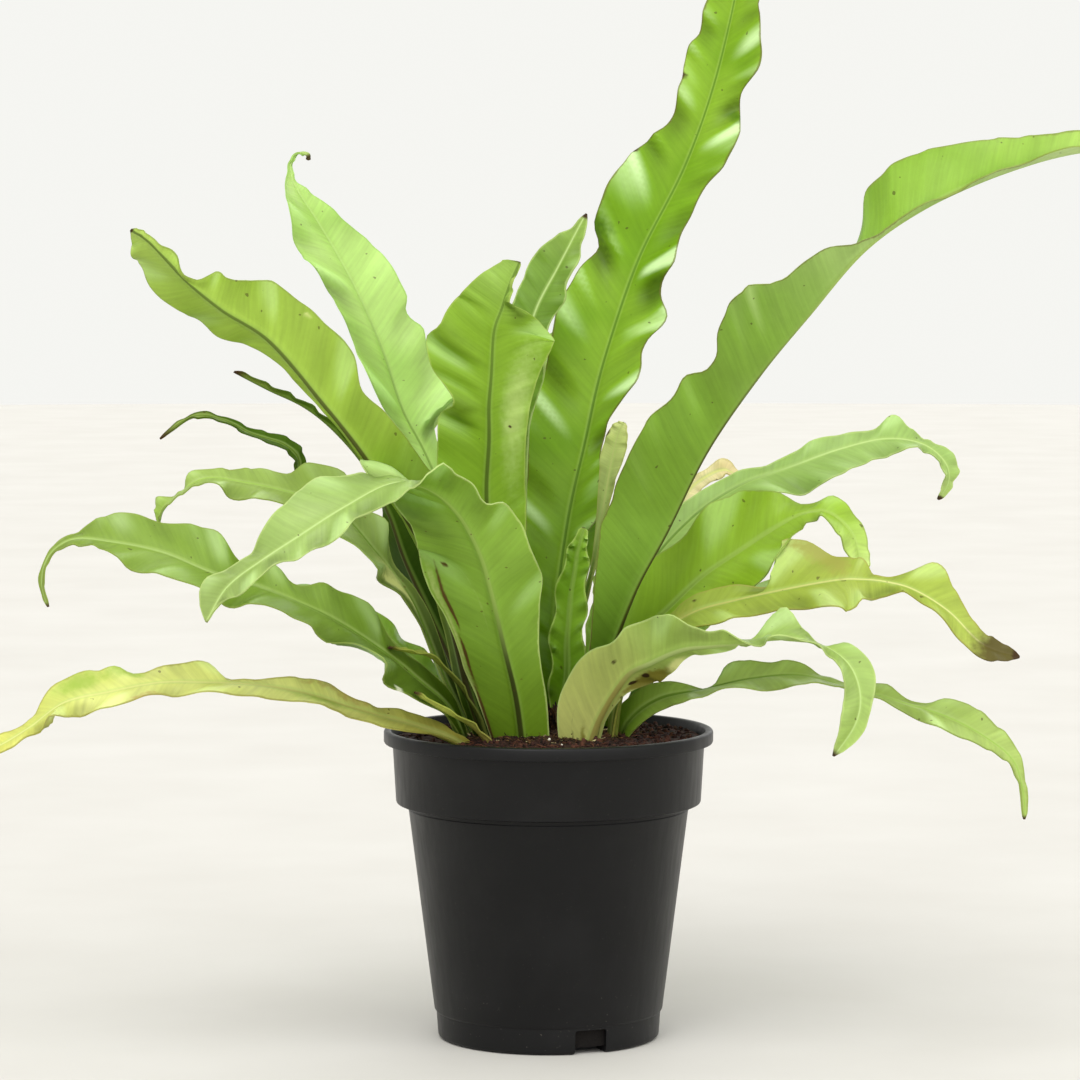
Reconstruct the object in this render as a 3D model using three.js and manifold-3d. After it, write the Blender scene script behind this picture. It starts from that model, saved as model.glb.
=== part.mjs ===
// Strap-leaved fern in a plain round nursery pot, in millimetres, +Z up.
// The origin is the middle of the flat base the pot stands on, and the front of the pot faces -Y.
import Module from 'manifold-3d';
import * as THREE from 'three';
import { mergeVertices } from 'three/addons/utils/BufferGeometryUtils.js';

// Pot
const POT_HEIGHT = 122;
const LIP_RADIUS = 65;
const LIP_HEIGHT = 5.2;
const LIP_WIDTH = 3.1;
const RIM_ROUND = 0.7;
const COLLAR_TOP_RADIUS = 61.5;
const COLLAR_FOOT_RADIUS = 60.2;
const COLLAR_HEIGHT = 27;
const BODY_TOP_RADIUS = 55.6;
const BODY_FOOT_RADIUS = 45.2;
const FOOT_HEIGHT = 11;
const FOOT_STEP = 0.8;
const BASE_RADIUS = 43.8;
const BASE_ROUND = 1.5;
const WALL = 1.5;
const FLOOR = 2.2;
const BEVEL = 1;
const ROUND_STEPS = 2;
const POT_SIDES = 48;

// Drain notches through the corner between wall and floor
const NOTCH_WIDTH = 13;
const NOTCH_HEIGHT = 9.4;
const NOTCH_DEPTH = 11;
const NOTCH_COUNT = 3;
const NOTCH_FIRST_ANGLE = -68;

// Soil
const SEAT_GAP = 0.3;
const SOIL_TOP = 117.6;
const SOIL_MOUND = 2.2;
const SOIL_GRAIN = 0.55;
const SOIL_PITCH = 4.3;
const SOIL_RINGS = 6;
const SOIL_SIDES = 24;

// Crown, an oval mound wider than it is deep
const CROWN_RADIUS_X = 38;
const CROWN_RADIUS_Y = 33;
const CROWN_BOTTOM = 108;
const CROWN_SHOULDER = 117.5;
const CROWN_SLOPE = 2.6;
const CROWN_TOP = 122.5;
const CROWN_BEVEL = 0.5;
const CROWN_LUMP = 0.8;
const CROWN_PITCH = 3.1;
const CROWN_SIDES = 28;

// Blades
const BLADE_THICKNESS = 0.8;
const STALK_THICKNESS = 2;
const STALK_END = 0.2;
const KEEL_DEPTH = 0.9;
const KEEL_FADE = 0.7;
const LEAST_HALF_WIDTH = 0.8;
const FOOT_FOLD = 0.3;
const OPEN_BY = 0.3;
const SETTLE_FROM = 0.85;

// Waved edges: the right edge runs behind the left, and each edge ahead of the rib
const EDGE_SHIFT = 0.37;
const EDGE_LEAD = 0.18;
const SMALL_WAVE = 0.35;
const SMALL_PITCH = 1.7;
const SMALL_SHIFT = 0.3;
const BULGE = 0.8;

// Plain holes that the fronds stand in
const SOCKET_GAP = 0.35;
const SOCKET_TOP = 127;

const LEAF_GREEN = '#7fb23a';
const PALE_GREEN = '#a6cf62';
const DARK_GREEN = '#4f7a22';
const YELLOW = '#d3d468';
const STRAW = '#c2b45c';

// Places of the points across a blade, from its right edge to its left
const BROAD = [-1, -0.5, 0, 0.5, 1];
const SLIM = [-1, 0, 1];

const DEGREE = Math.PI / 180;

// Each frond's rib, from its foot in the crown to its tip, is a smooth line through its rows. A row
// is x, y, z, then the half-widths of the blade left and right of the rib as seen looking outwards
// from the crown, then the roll in degrees that lifts the left half.
// heading is the way the frond grows, in degrees from +X, and fold lifts both halves to a channel.
// waves, ruffle and phase are the number, height and start of the waves along the edges.
const FRONDS = [
  {
    name: 'frond_tall_centre', color: LEAF_GREEN, heading: 75, fold: 20,
    waves: 9, ruffle: 0.16, phase: 0.2, across: BROAD, steps: 38,
    rows: [
      [3, 10, 112, 4, 4, 0], [3, 13, 140, 6, 5, 0], [3, 20, 165, 10, 8, 0], [7, 30, 198, 16, 11, 0],
      [14, 42, 230, 23, 14, 0], [23, 54, 267, 26, 18, 0], [37, 64, 307, 24, 15, 0],
      [56, 70, 345, 23, 13, 0], [68, 74, 379, 14, 14, 0], [76, 80, 412, 12, 12, 0],
      [80, 92, 437, 8, 8, 0], [85, 112, 457, 1, 1, 0],
    ],
  },
  {
    name: 'frond_tall_right', color: LEAF_GREEN, heading: -40, fold: 45,
    waves: 6, ruffle: 0.1, phase: 0.6, across: BROAD, steps: 34,
    rows: [
      [15, -7, 112, 4, 4, 0], [20, -14, 143, 7, 8, 0], [32, -26, 177, 12, 19, 0],
      [45, -36, 203, 14, 26, 0], [60, -50, 235, 14, 26, 0], [79, -62, 264, 13, 23, 0],
      [97, -72, 287, 12, 22, 0], [118, -80, 312, 12, 13, 0], [141, -84, 328, 14, 11, 40],
      [171, -86, 341, 13, 10, 45], [199, -84, 348, 9, 9, 45], [224, -78, 348, 7, 6, 40],
      [246, -70, 341, 1, 1, 40],
    ],
  },
  {
    name: 'frond_high_left', color: LEAF_GREEN, heading: 200, fold: 20,
    waves: 7, ruffle: 0.12, phase: 0.1, across: BROAD, steps: 34,
    rows: [
      [-22, -11, 112, 4, 4, 55], [-31, -20, 139, 6, 5, 55], [-39, -30, 170, 8, 4, 55],
      [-50, -40, 200, 12, 3, 52], [-68, -52, 230, 15, 3, 50], [-85, -60, 253, 18, 5, 50],
      [-105, -66, 277, 18, 9, 50], [-123, -70, 289, 12, 14, 50], [-136, -72, 300, 4, 15, 45],
      [-149, -74, 314, 3, 11, 40], [-156, -75, 319, 1, 2, 40],
    ],
  },
  {
    name: 'frond_pale_left', color: PALE_GREEN, heading: 125, fold: 25,
    waves: 6, ruffle: 0.12, phase: 0.4, across: BROAD, steps: 30,
    rows: [
      [-11, 8, 112, 4, 4, 0], [-19, 16, 150, 5, 5, 0], [-32, 30, 186, 12, 9, 0],
      [-48, 44, 225, 14, 10, 0], [-59, 51, 246, 14, 18, 0], [-67, 58, 269, 16, 20, 0],
      [-76, 62, 290, 15, 17, 0], [-85, 66, 307, 20, 11, 0], [-94, 68, 322, 17, 6, 0],
      [-104, 71, 337, 5, 2, 0], [-105, 74, 344, 1.5, 1.5, 0],
    ],
  },
  {
    name: 'frond_broad_centre', color: LEAF_GREEN, heading: -95, fold: 8,
    waves: 4, ruffle: 0.12, phase: 0.7, across: BROAD, steps: 26,
    rows: [
      [-13, -6, 112, 5, 5, 0], [-17, -12, 150, 8, 8, 0], [-21, -16, 188, 12, 13, 0],
      [-24, -20, 214, 15, 20, 0], [-23, -24, 237, 14, 21, 0], [-23, -26, 250, 17, 17, 0],
      [-22, -28, 263, 21, 23, 0], [-21, -30, 279, 23, 23, 0], [-18, -30, 288, 6, 20, 0],
      [-15, -30, 297, 1, 17, 0], [-11, -29, 306, 1, 5, 0],
    ],
  },
  {
    name: 'frond_slim_centre', color: PALE_GREEN, heading: 80, fold: 15,
    waves: 5, ruffle: 0.14, phase: 0.9, across: SLIM, steps: 24,
    rows: [
      [-3, 2, 112, 3, 3, 0], [-7, 6, 153, 4, 4, 0], [-10, 12, 188, 6, 6, 0], [-11, 18, 231, 8, 8, 0],
      [-10, 22, 259, 12, 9, 0], [-6, 27, 284, 14, 10, 0], [4, 31, 304, 10, 6, 0],
      [15, 34, 325, 1, 1, 0],
    ],
  },
  {
    name: 'frond_front_arched', color: PALE_GREEN, heading: -150, fold: 12,
    waves: 6, ruffle: 0.14, phase: 0.3, across: BROAD, steps: 36,
    rows: [
      [-9, -17, 112, 7, 7, 48], [-12, -25, 136, 12, 10, 48], [-17, -34, 158, 14, 11, 48],
      [-22, -44, 181, 20, 15, 46], [-27, -54, 198, 23, 18, 42], [-35, -64, 212, 24, 18, 30],
      [-47, -74, 219, 22, 18, 10], [-60, -84, 219, 15, 18, -15], [-76, -92, 213, 12, 17, -35],
      [-92, -98, 206, 13, 15, -45], [-106, -102, 197, 12, 11, -45], [-119, -104, 187, 9, 7, -40],
      [-127, -104, 174, 2, 2, -30],
    ],
  },
  {
    name: 'frond_long_left', color: LEAF_GREEN, heading: 195, fold: 15,
    waves: 7, ruffle: 0.12, phase: 0.5, across: BROAD, steps: 34,
    rows: [
      [-30, -9, 112, 4, 4, -20], [-38, -20, 132, 10, 8, -30], [-50, -34, 145, 17, 12, -35],
      [-63, -44, 157, 19, 13, -35], [-80, -51, 169, 13, 11, -35], [-95, -55, 177, 10, 10, -35],
      [-112, -58, 184, 11, 12, -40], [-128, -60, 189, 12, 16, -40], [-147, -62, 197, 12, 13, -40],
      [-166, -64, 201, 8, 10, -35], [-180, -65, 202, 5, 5, -30], [-189, -66, 196, 2, 2, -30],
      [-192, -66, 186, 1.5, 1.5, -30], [-190, -66, 176, 1, 1, -30],
    ],
  },
  {
    name: 'frond_yellow_low', color: YELLOW, heading: 190, fold: 10,
    waves: 7, ruffle: 0.15, phase: 0.1, across: SLIM, steps: 36,
    rows: [
      [-24, -24, 112, 3, 3, -20], [-36, -31, 121.5, 3.5, 3.5, -30], [-50, -37, 127.5, 4, 4, -40],
      [-63, -41, 131.5, 5, 5, -40], [-77, -44, 136, 6, 6, -40], [-92, -47, 141, 6, 5.5, -40],
      [-110, -51, 145, 6, 5.5, -40], [-129, -56, 146.5, 8, 6, -35], [-148, -60, 147, 9, 7, -35],
      [-166, -65, 144, 12, 9, -40], [-183, -69, 140.5, 11, 8, -40], [-196, -73, 131.5, 5, 5, -30],
      [-207, -77, 125, 6, 5, -40], [-219, -80, 121, 4, 4, -30], [-228, -80, 115, 1, 1, -30],
    ],
  },
  {
    name: 'frond_mid_left', color: LEAF_GREEN, heading: 185, fold: 15,
    waves: 5, ruffle: 0.12, phase: 0.8, across: SLIM, steps: 28,
    rows: [
      [-26, -1, 112, 3, 3, -20], [-40, -8, 142, 5, 5, -30], [-53, -16, 174, 5, 9, -35],
      [-67, -24, 194, 13, 11, -35], [-83, -30, 212, 11, 9, -35], [-100, -36, 218, 9, 9, -35],
      [-116, -42, 222, 9, 7, -35], [-131, -46, 224, 6, 5, -30], [-142, -47, 218, 3, 3, -20],
      [-148, -46, 212, 3, 3, -20], [-150, -44, 206, 1, 1, -20],
    ],
  },
  {
    name: 'frond_curled_left', color: DARK_GREEN, heading: 175, fold: 10,
    waves: 3, ruffle: 0.1, phase: 0.2, across: SLIM, steps: 24,
    rows: [
      [-25, 12, 112, 3, 3, 0], [-42, 20, 149, 3, 3, -20], [-61, 24, 179, 4, 4, -30],
      [-80, 20, 203, 4, 4, -30], [-93, 14, 214, 4, 4, -30], [-98, 12, 221, 3.5, 3.5, -30],
      [-99, 10, 229, 3.5, 3.5, -30], [-105, 8, 234.5, 3.5, 3.5, -30], [-117, 6, 238.5, 3, 3, -30],
      [-128, 4, 244, 2, 2, -30], [-140, 2, 245.5, 1.5, 1.5, -30], [-153, 0, 237, 1, 1, -30],
    ],
  },
  {
    name: 'frond_rolled_left', color: DARK_GREEN, heading: 170, fold: 20,
    waves: 3, ruffle: 0.1, phase: 0.5, across: SLIM, steps: 22,
    rows: [
      [-19, 5, 112, 4, 4, 60], [-34, 5, 141, 8, 8, 60], [-45, 6, 164, 10, 10, 60],
      [-56, 6, 188, 11, 11, 60], [-62, 4, 206, 8, 8, 50], [-71, 1, 225, 4, 4, 30],
      [-83, -4, 240, 2.5, 2.5, 30], [-95, -8, 250, 2.5, 2.5, 30], [-109, -12, 257, 2, 2, 30],
      [-122, -16, 264, 1.5, 1.5, 30],
    ],
  },
  {
    name: 'frond_front_right', color: PALE_GREEN, heading: -20, fold: 15,
    waves: 6, ruffle: 0.14, phase: 0.4, across: BROAD, steps: 34,
    rows: [
      [14, -20, 112, 7, 9, -65], [20, -26, 130, 8, 15, -62], [30, -36, 147, 8, 19, -58],
      [39, -44, 153, 11, 19, -57], [50, -54, 159, 9, 17, -55], [61, -62, 161.5, 6, 13, -45],
      [72, -70, 163.5, 4, 7, -15], [89, -78, 166, 11, 9, 25], [102, -84, 164, 6, 6, 0],
      [112, -90, 157, 7, 7, 30], [116, -94, 146, 7, 7, 50], [114, -96, 135, 6, 6, 60],
      [106, -97, 123, 1, 1, 60],
    ],
  },
  {
    name: 'frond_low_right', color: LEAF_GREEN, heading: -8, fold: 12,
    waves: 5, ruffle: 0.1, phase: 0.6, across: SLIM, steps: 32,
    rows: [
      [26, -5, 112, 4, 4, 10], [31, -11, 126, 6, 6, 25], [43, -18, 137, 9, 6, 38],
      [60, -24, 141, 4, 4, 0], [78, -28, 145, 7, 7, 30], [97, -34, 147, 7, 7, 30],
      [116, -40, 143, 4, 4, 10], [135, -46, 138, 5, 5, 30], [152, -52, 133, 8, 8, 40],
      [166, -56, 126, 8, 8, 40], [177, -58, 117, 5, 5, 50], [181, -58, 105, 2.5, 2.5, 50],
      [182, -58, 94, 1, 1, 50],
    ],
  },
  {
    name: 'frond_bright_right', color: LEAF_GREEN, heading: 5, fold: 15,
    waves: 5, ruffle: 0.12, phase: 0.2, across: BROAD, steps: 30,
    rows: [
      [20, 2, 112, 5, 5, 20], [20.5, 1.5, 122, 7, 6, 28], [23, 0, 138, 11, 8, 40], [30, -4, 154, 17, 11, 45],
      [47, -12, 171, 20, 14, 45], [60, -18, 184, 19, 14, 45], [75, -24, 195, 14, 14, 45],
      [88, -30, 204, 12, 13, 45], [99, -34, 210, 8, 7, 30], [108, -38, 210, 6, 5, 40],
      [116, -42, 203, 6, 6, 55], [119, -44, 194, 5, 5, 60], [120, -45, 188, 1.5, 1.5, 60],
    ],
  },
  {
    name: 'frond_yellow_green', color: YELLOW, heading: -12, fold: 12,
    waves: 6, ruffle: 0.14, phase: 0.7, across: BROAD, steps: 32,
    rows: [
      [23, -13, 112, 3, 3, 20], [27, -18, 139, 6, 6, 30], [37, -28, 158, 7, 7, 35],
      [54, -38, 171, 8, 7, 35], [71, -46, 177, 8, 10, 35], [90, -54, 182, 17, 10, 35],
      [109, -60, 186, 13, 16, 35], [118, -62, 187, 8, 17, 30], [127, -65, 186, 6, 6, 0],
      [138, -67, 183, 12, 6, 30], [151, -69, 175, 10, 7, 40], [162, -70, 164, 7, 7, 50],
      [170, -70, 160, 4, 4, 45], [178, -70, 158, 1, 1, 45],
    ],
  },
  {
    name: 'frond_upper_right', color: PALE_GREEN, heading: 15, fold: 12,
    waves: 6, ruffle: 0.12, phase: 0.9, across: SLIM, steps: 30,
    rows: [
      [15, 13, 112, 4, 4, 10], [22, 13, 144, 5, 5, 30], [36, 18, 179, 8, 9, 40],
      [56, 22, 203, 8, 10, 40], [77, 26, 217, 8, 10, 40], [97, 30, 224, 8, 11, 40],
      [117, 32, 231, 8, 10, 40], [135, 34, 235, 8, 8, 40], [150, 35, 233, 6, 5, 40],
      [159, 35, 226, 4, 4, 60], [161, 35, 218, 3.5, 3.5, 60], [157, 35, 210, 1.5, 1.5, 60],
    ],
  },
  {
    name: 'frond_small_pale', color: STRAW, heading: 70, fold: 10,
    waves: 2, ruffle: 0.1, phase: 0.3, across: SLIM, steps: 12,
    rows: [
      [8, 18, 112, 3, 3, 0], [11, 20, 155, 3, 3, 0], [18, 21, 187, 3, 3, 0], [24, 22, 215, 4, 4, 0],
      [26, 22, 229, 5, 5, 0], [28, 22, 241, 2.5, 2.5, 0],
    ],
  },
  {
    name: 'frond_withered_curl', color: STRAW, heading: 40, fold: 10,
    waves: 3, ruffle: 0.15, phase: 0.6, across: SLIM, steps: 18,
    rows: [
      [19, 17, 112, 3, 3, 0], [29, 26, 156, 3, 3, 20], [43, 36, 187, 4, 4, 30],
      [50, 40, 202, 6, 5, 40], [56, 42, 213, 5, 5, 40], [63, 42, 219, 3, 3, 40],
      [71, 42, 222, 4, 4, 60], [77, 40, 219, 1.5, 1.5, 60],
    ],
  },
  {
    name: 'frond_young_tall', color: PALE_GREEN, heading: 90, fold: 25,
    waves: 5, ruffle: 0.2, phase: 0.1, across: SLIM, steps: 16,
    rows: [
      [5, 4, 112, 4, 4, 0], [7, 5, 140, 7, 7, 0], [8, 7, 165, 7, 7, 0], [11, 8, 188, 5, 5, 0],
      [14, 8, 201, 1.5, 1.5, 0],
    ],
  },
  {
    name: 'frond_young_short', color: LEAF_GREEN, heading: -60, fold: 25,
    waves: 5, ruffle: 0.2, phase: 0.5, across: SLIM, steps: 16,
    rows: [
      [8, -4, 112, 3, 3, 0], [13, -5, 138, 4, 4, 0], [18, -6, 165, 4, 4, 0], [21, -6, 185, 3, 3, 0],
      [22, -6, 197, 1, 1, 0],
    ],
  },
  {
    name: 'stub_upper', color: STRAW, heading: 200, fold: 0,
    waves: 1, ruffle: 0, phase: 0, across: SLIM, steps: 8,
    rows: [
      [-20, -17, 112, 2, 2, 0], [-31, -25, 138, 2, 2, 0], [-44, -33, 153.7, 2.5, 2.5, 0],
      [-53, -39, 157, 2, 2, 0], [-61.5, -43, 159, 1, 1, 0],
    ],
  },
  {
    name: 'stub_lower', color: STRAW, heading: 215, fold: 0,
    waves: 1, ruffle: 0, phase: 0, across: SLIM, steps: 6,
    rows: [
      [-18, -22, 112, 2, 2, 0], [-28, -33, 126.5, 2, 2, 0], [-40, -45, 135, 2.5, 2.5, 0],
      [-51, -54, 143, 1, 1, 0],
    ],
  },
  {
    name: 'frond_back_upright', color: LEAF_GREEN, heading: 95, fold: 20,
    waves: 6, ruffle: 0.14, phase: 0.2, across: SLIM, steps: 24,
    rows: [
      [-4, 20, 112, 4, 4, 0], [-6, 40, 170, 8, 8, 0], [-8, 68, 225, 17, 17, 0],
      [-10, 105, 258, 20, 20, 0], [-12, 145, 268, 17, 17, 0], [-14, 182, 255, 10, 10, 0],
      [-15, 208, 230, 1.5, 1.5, 0],
    ],
  },
  {
    name: 'frond_back_right', color: LEAF_GREEN, heading: 60, fold: 18,
    waves: 5, ruffle: 0.14, phase: 0.5, across: SLIM, steps: 20,
    rows: [
      [13, 24, 112, 4, 4, 0], [22, 42, 148, 8, 8, 0], [34, 66, 170, 12, 12, 0],
      [46, 92, 178, 13, 13, 0], [57, 118, 172, 9, 9, 0], [64, 138, 155, 1.5, 1.5, 0],
    ],
  },
  {
    name: 'frond_back_left', color: LEAF_GREEN, heading: 125, fold: 18,
    waves: 5, ruffle: 0.14, phase: 0.8, across: SLIM, steps: 20,
    rows: [
      [-19, 20, 112, 4, 4, 0], [-30, 36, 155, 7, 7, 0], [-44, 64, 185, 12, 12, 0],
      [-56, 94, 195, 13, 13, 0], [-66, 122, 190, 9, 9, 0], [-72, 142, 178, 1.5, 1.5, 0],
    ],
  },
  {
    name: 'frond_back_high', color: PALE_GREEN, heading: 112, fold: 20,
    waves: 6, ruffle: 0.14, phase: 0.3, across: SLIM, steps: 22,
    rows: [
      [-10, 26, 112, 4, 4, 0], [-18, 48, 175, 7, 7, 0], [-28, 78, 225, 14, 14, 0],
      [-37, 110, 248, 15, 15, 0], [-45, 143, 248, 12, 12, 0], [-52, 172, 230, 1.5, 1.5, 0],
    ],
  },
  {
    name: 'frond_back_short', color: LEAF_GREEN, heading: 80, fold: 20,
    waves: 5, ruffle: 0.14, phase: 0.7, across: SLIM, steps: 18,
    rows: [
      [3, 27, 112, 3, 3, 0], [8, 50, 165, 7, 7, 0], [14, 76, 205, 10, 10, 0], [19, 104, 222, 9, 9, 0],
      [23, 130, 214, 1.5, 1.5, 0],
    ],
  },
  {
    name: 'frond_side_right', color: LEAF_GREEN, heading: 32, fold: 15,
    waves: 5, ruffle: 0.14, phase: 0.1, across: SLIM, steps: 20,
    rows: [
      [26, 12, 112, 3, 3, 0], [42, 24, 142, 7, 7, 0], [66, 42, 162, 9, 9, 0], [92, 62, 172, 8, 8, 0],
      [114, 80, 174, 6, 6, 0], [126, 90, 169, 1.5, 1.5, 0],
    ],
  },
  {
    name: 'frond_side_left', color: LEAF_GREEN, heading: 150, fold: 15,
    waves: 5, ruffle: 0.14, phase: 0.6, across: SLIM, steps: 20,
    rows: [
      [-31, 7, 112, 3, 3, 0], [-46, 24, 138, 6, 6, 0], [-66, 42, 155, 8, 8, 0],
      [-88, 58, 167, 8, 8, 0], [-107, 72, 172, 6, 6, 0], [-120, 82, 168, 1.5, 1.5, 0],
    ],
  },
];

const wasm = await Module();
wasm.setup();

// A closed geometry as a solid that can be cut
function solidOf(geometry) {
  const bare = geometry.clone();
  bare.deleteAttribute('normal');
  bare.deleteAttribute('uv');
  const merged = mergeVertices(bare, 1e-4);
  const vertProperties = new Float32Array(merged.attributes.position.array);
  const triVerts = new Uint32Array(merged.index.array);
  return new wasm.Manifold(new wasm.Mesh({ numProp: 3, vertProperties, triVerts }));
}

function geometryOf(solid) {
  const mesh = solid.getMesh();
  const geometry = new THREE.BufferGeometry();
  geometry.setAttribute('position', new THREE.BufferAttribute(new Float32Array(mesh.vertProperties), 3));
  geometry.setIndex(new THREE.BufferAttribute(new Uint32Array(mesh.triVerts), 1));
  return geometry;
}

function subMesh(name, geometry, color, roughness) {
  const material = new THREE.MeshStandardMaterial({ color, roughness, metalness: 0 });
  const mesh = new THREE.Mesh(geometry, material);
  mesh.name = name;
  return mesh;
}

// Points of a round corner from one angle to another, both in degrees
function roundCorner(x, y, radius, from, to) {
  const points = [];
  for (let i = 0; i <= ROUND_STEPS; i += 1) {
    const angle = THREE.MathUtils.lerp(from, to, i / ROUND_STEPS) * DEGREE;
    points.push(new THREE.Vector2(x + radius * Math.cos(angle), y + radius * Math.sin(angle)));
  }
  return points;
}

// Inner side of the pot from the rim down to the floor, moved in by a gap
function innerProfile(gap) {
  const collarFoot = POT_HEIGHT - COLLAR_HEIGHT;
  const inset = WALL + gap;
  return [
    new THREE.Vector2(COLLAR_TOP_RADIUS - inset, POT_HEIGHT - LIP_HEIGHT - BEVEL),
    new THREE.Vector2(COLLAR_FOOT_RADIUS - inset, collarFoot + BEVEL),
    new THREE.Vector2(BODY_TOP_RADIUS - inset, collarFoot - WALL),
    new THREE.Vector2(BODY_FOOT_RADIUS - FOOT_STEP - inset, FOOT_HEIGHT),
    new THREE.Vector2(BASE_RADIUS - inset, FLOOR + gap),
  ];
}

// Shell of the pot: lip, collar, tapered body and a foot of slightly less girth
function potGeometry() {
  const collarFoot = POT_HEIGHT - COLLAR_HEIGHT;
  const lipFoot = POT_HEIGHT - LIP_HEIGHT;
  const rimHeight = POT_HEIGHT - RIM_ROUND;
  const lathe = new THREE.LatheGeometry([
    new THREE.Vector2(0, 0),
    ...roundCorner(BASE_RADIUS - BASE_ROUND, BASE_ROUND, BASE_ROUND, -90, 0),
    new THREE.Vector2(BODY_FOOT_RADIUS - FOOT_STEP, FOOT_HEIGHT - BEVEL),
    new THREE.Vector2(BODY_FOOT_RADIUS, FOOT_HEIGHT),
    new THREE.Vector2(BODY_TOP_RADIUS, collarFoot - BEVEL),
    new THREE.Vector2(COLLAR_FOOT_RADIUS - BEVEL, collarFoot),
    new THREE.Vector2(COLLAR_FOOT_RADIUS, collarFoot + BEVEL),
    new THREE.Vector2(COLLAR_TOP_RADIUS, lipFoot - BEVEL),
    new THREE.Vector2(LIP_RADIUS - BEVEL, lipFoot),
    new THREE.Vector2(LIP_RADIUS, lipFoot + BEVEL),
    ...roundCorner(LIP_RADIUS - RIM_ROUND, rimHeight, RIM_ROUND, 0, 90),
    ...roundCorner(LIP_RADIUS - LIP_WIDTH + RIM_ROUND, rimHeight, RIM_ROUND, 90, 180),
    ...innerProfile(0),
    new THREE.Vector2(0, FLOOR),
  ], POT_SIDES);
  lathe.rotateX(Math.PI / 2);
  return lathe;
}

function potWithNotches() {
  let pot = solidOf(potGeometry());
  for (let i = 0; i < NOTCH_COUNT; i += 1) {
    const notch = new THREE.BoxGeometry(2 * NOTCH_DEPTH, NOTCH_WIDTH, 2 * NOTCH_HEIGHT);
    notch.translate(BODY_FOOT_RADIUS, 0, 0);
    notch.rotateZ((NOTCH_FIRST_ANGLE + (360 / NOTCH_COUNT) * i) * DEGREE);
    pot = pot.subtract(solidOf(notch));
  }
  return geometryOf(pot);
}

// Uneven height of loose matter, from -1 to 1, out of two waves that cross
function grain(x, y, pitch) {
  const crossing = Math.sin((x + 0.6 * y) / pitch) * Math.cos((y - 0.4 * x) / pitch);
  return 0.6 * crossing + 0.4 * Math.sin((1.7 * x - 2.3 * y) / pitch);
}

// Filling of the pot, a gap inside its wall and floor, mounded towards the middle
function soilGeometry() {
  const inner = innerProfile(SEAT_GAP).reverse();
  const rim = inner.pop();
  const profile = [new THREE.Vector2(0, FLOOR + SEAT_GAP), ...inner, rim];
  for (let i = SOIL_RINGS; i >= 0; i -= 1) {
    profile.push(new THREE.Vector2((rim.x * i) / (SOIL_RINGS + 0.5), SOIL_TOP));
  }
  const lathe = new THREE.LatheGeometry(profile, SOIL_SIDES);
  lathe.rotateX(Math.PI / 2);
  const position = lathe.attributes.position;
  for (let i = 0; i < position.count; i += 1) {
    const x = position.getX(i);
    const y = position.getY(i);
    if (position.getZ(i) > rim.y + BEVEL) {
      const mound = SOIL_MOUND * (1 - Math.hypot(x, y) / rim.x);
      position.setZ(i, SOIL_TOP + mound + SOIL_GRAIN * grain(x, y, SOIL_PITCH));
    }
  }
  return lathe;
}

// Plain oval hole in the soil that the crown stands in
function crownSeat() {
  const depth = 2 * (CROWN_TOP - CROWN_BOTTOM);
  const seat = new THREE.CylinderGeometry(1, 1, depth, CROWN_SIDES);
  seat.rotateX(Math.PI / 2);
  seat.scale(CROWN_RADIUS_X + SEAT_GAP, CROWN_RADIUS_Y + SEAT_GAP, 1);
  seat.translate(0, 0, CROWN_BOTTOM - SEAT_GAP + depth / 2);
  return seat;
}

// Rootstock: a low lumpy mound that the fronds stand in
function crownGeometry() {
  const lathe = new THREE.LatheGeometry([
    new THREE.Vector2(0, CROWN_BOTTOM),
    new THREE.Vector2(0.97, CROWN_BOTTOM),
    new THREE.Vector2(1, CROWN_BOTTOM + CROWN_BEVEL),
    new THREE.Vector2(1, CROWN_SHOULDER),
    new THREE.Vector2(0.86, CROWN_SHOULDER + CROWN_SLOPE),
    new THREE.Vector2(0.6, CROWN_TOP - BEVEL),
    new THREE.Vector2(0.3, CROWN_TOP),
    new THREE.Vector2(0, CROWN_TOP),
  ], CROWN_SIDES);
  lathe.rotateX(Math.PI / 2);
  lathe.scale(CROWN_RADIUS_X, CROWN_RADIUS_Y, 1);
  const position = lathe.attributes.position;
  for (let i = 0; i < position.count; i += 1) {
    const z = position.getZ(i);
    if (z > CROWN_SHOULDER + CROWN_BEVEL) {
      position.setZ(i, z + CROWN_LUMP * grain(position.getX(i), position.getY(i), CROWN_PITCH));
    }
  }
  return lathe;
}

// Rib line, and half-widths and roll, of a frond as curves over 0 to 1
function curvesOf(frond) {
  const line = frond.rows.map(([x, y, z]) => new THREE.Vector3(x, y, z));
  const form = frond.rows.map(([, , , left, right, roll]) => new THREE.Vector3(left, right, roll));
  return {
    line: new THREE.CatmullRomCurve3(line, false, 'catmullrom', 0.5),
    form: new THREE.CatmullRomCurve3(form, false, 'catmullrom', 0.5),
  };
}

// Centre, directions and half-widths of a frond's cross-section at t
function sectionOf(frond, curves, t) {
  const centre = curves.line.getPoint(t);
  const along = curves.line.getTangent(t);
  const form = curves.form.getPoint(t);
  const heading = frond.heading * DEGREE;
  const side = new THREE.Vector3(-Math.sin(heading), Math.cos(heading), 0);
  side.addScaledVector(along, -side.dot(along)).normalize();
  side.applyAxisAngle(along, form.z * DEGREE);
  const face = along.clone().cross(side);
  const left = Math.max(form.x, LEAST_HALF_WIDTH);
  const right = Math.max(form.y, LEAST_HALF_WIDTH);
  return { centre, along, side, face, left, right };
}

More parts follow.
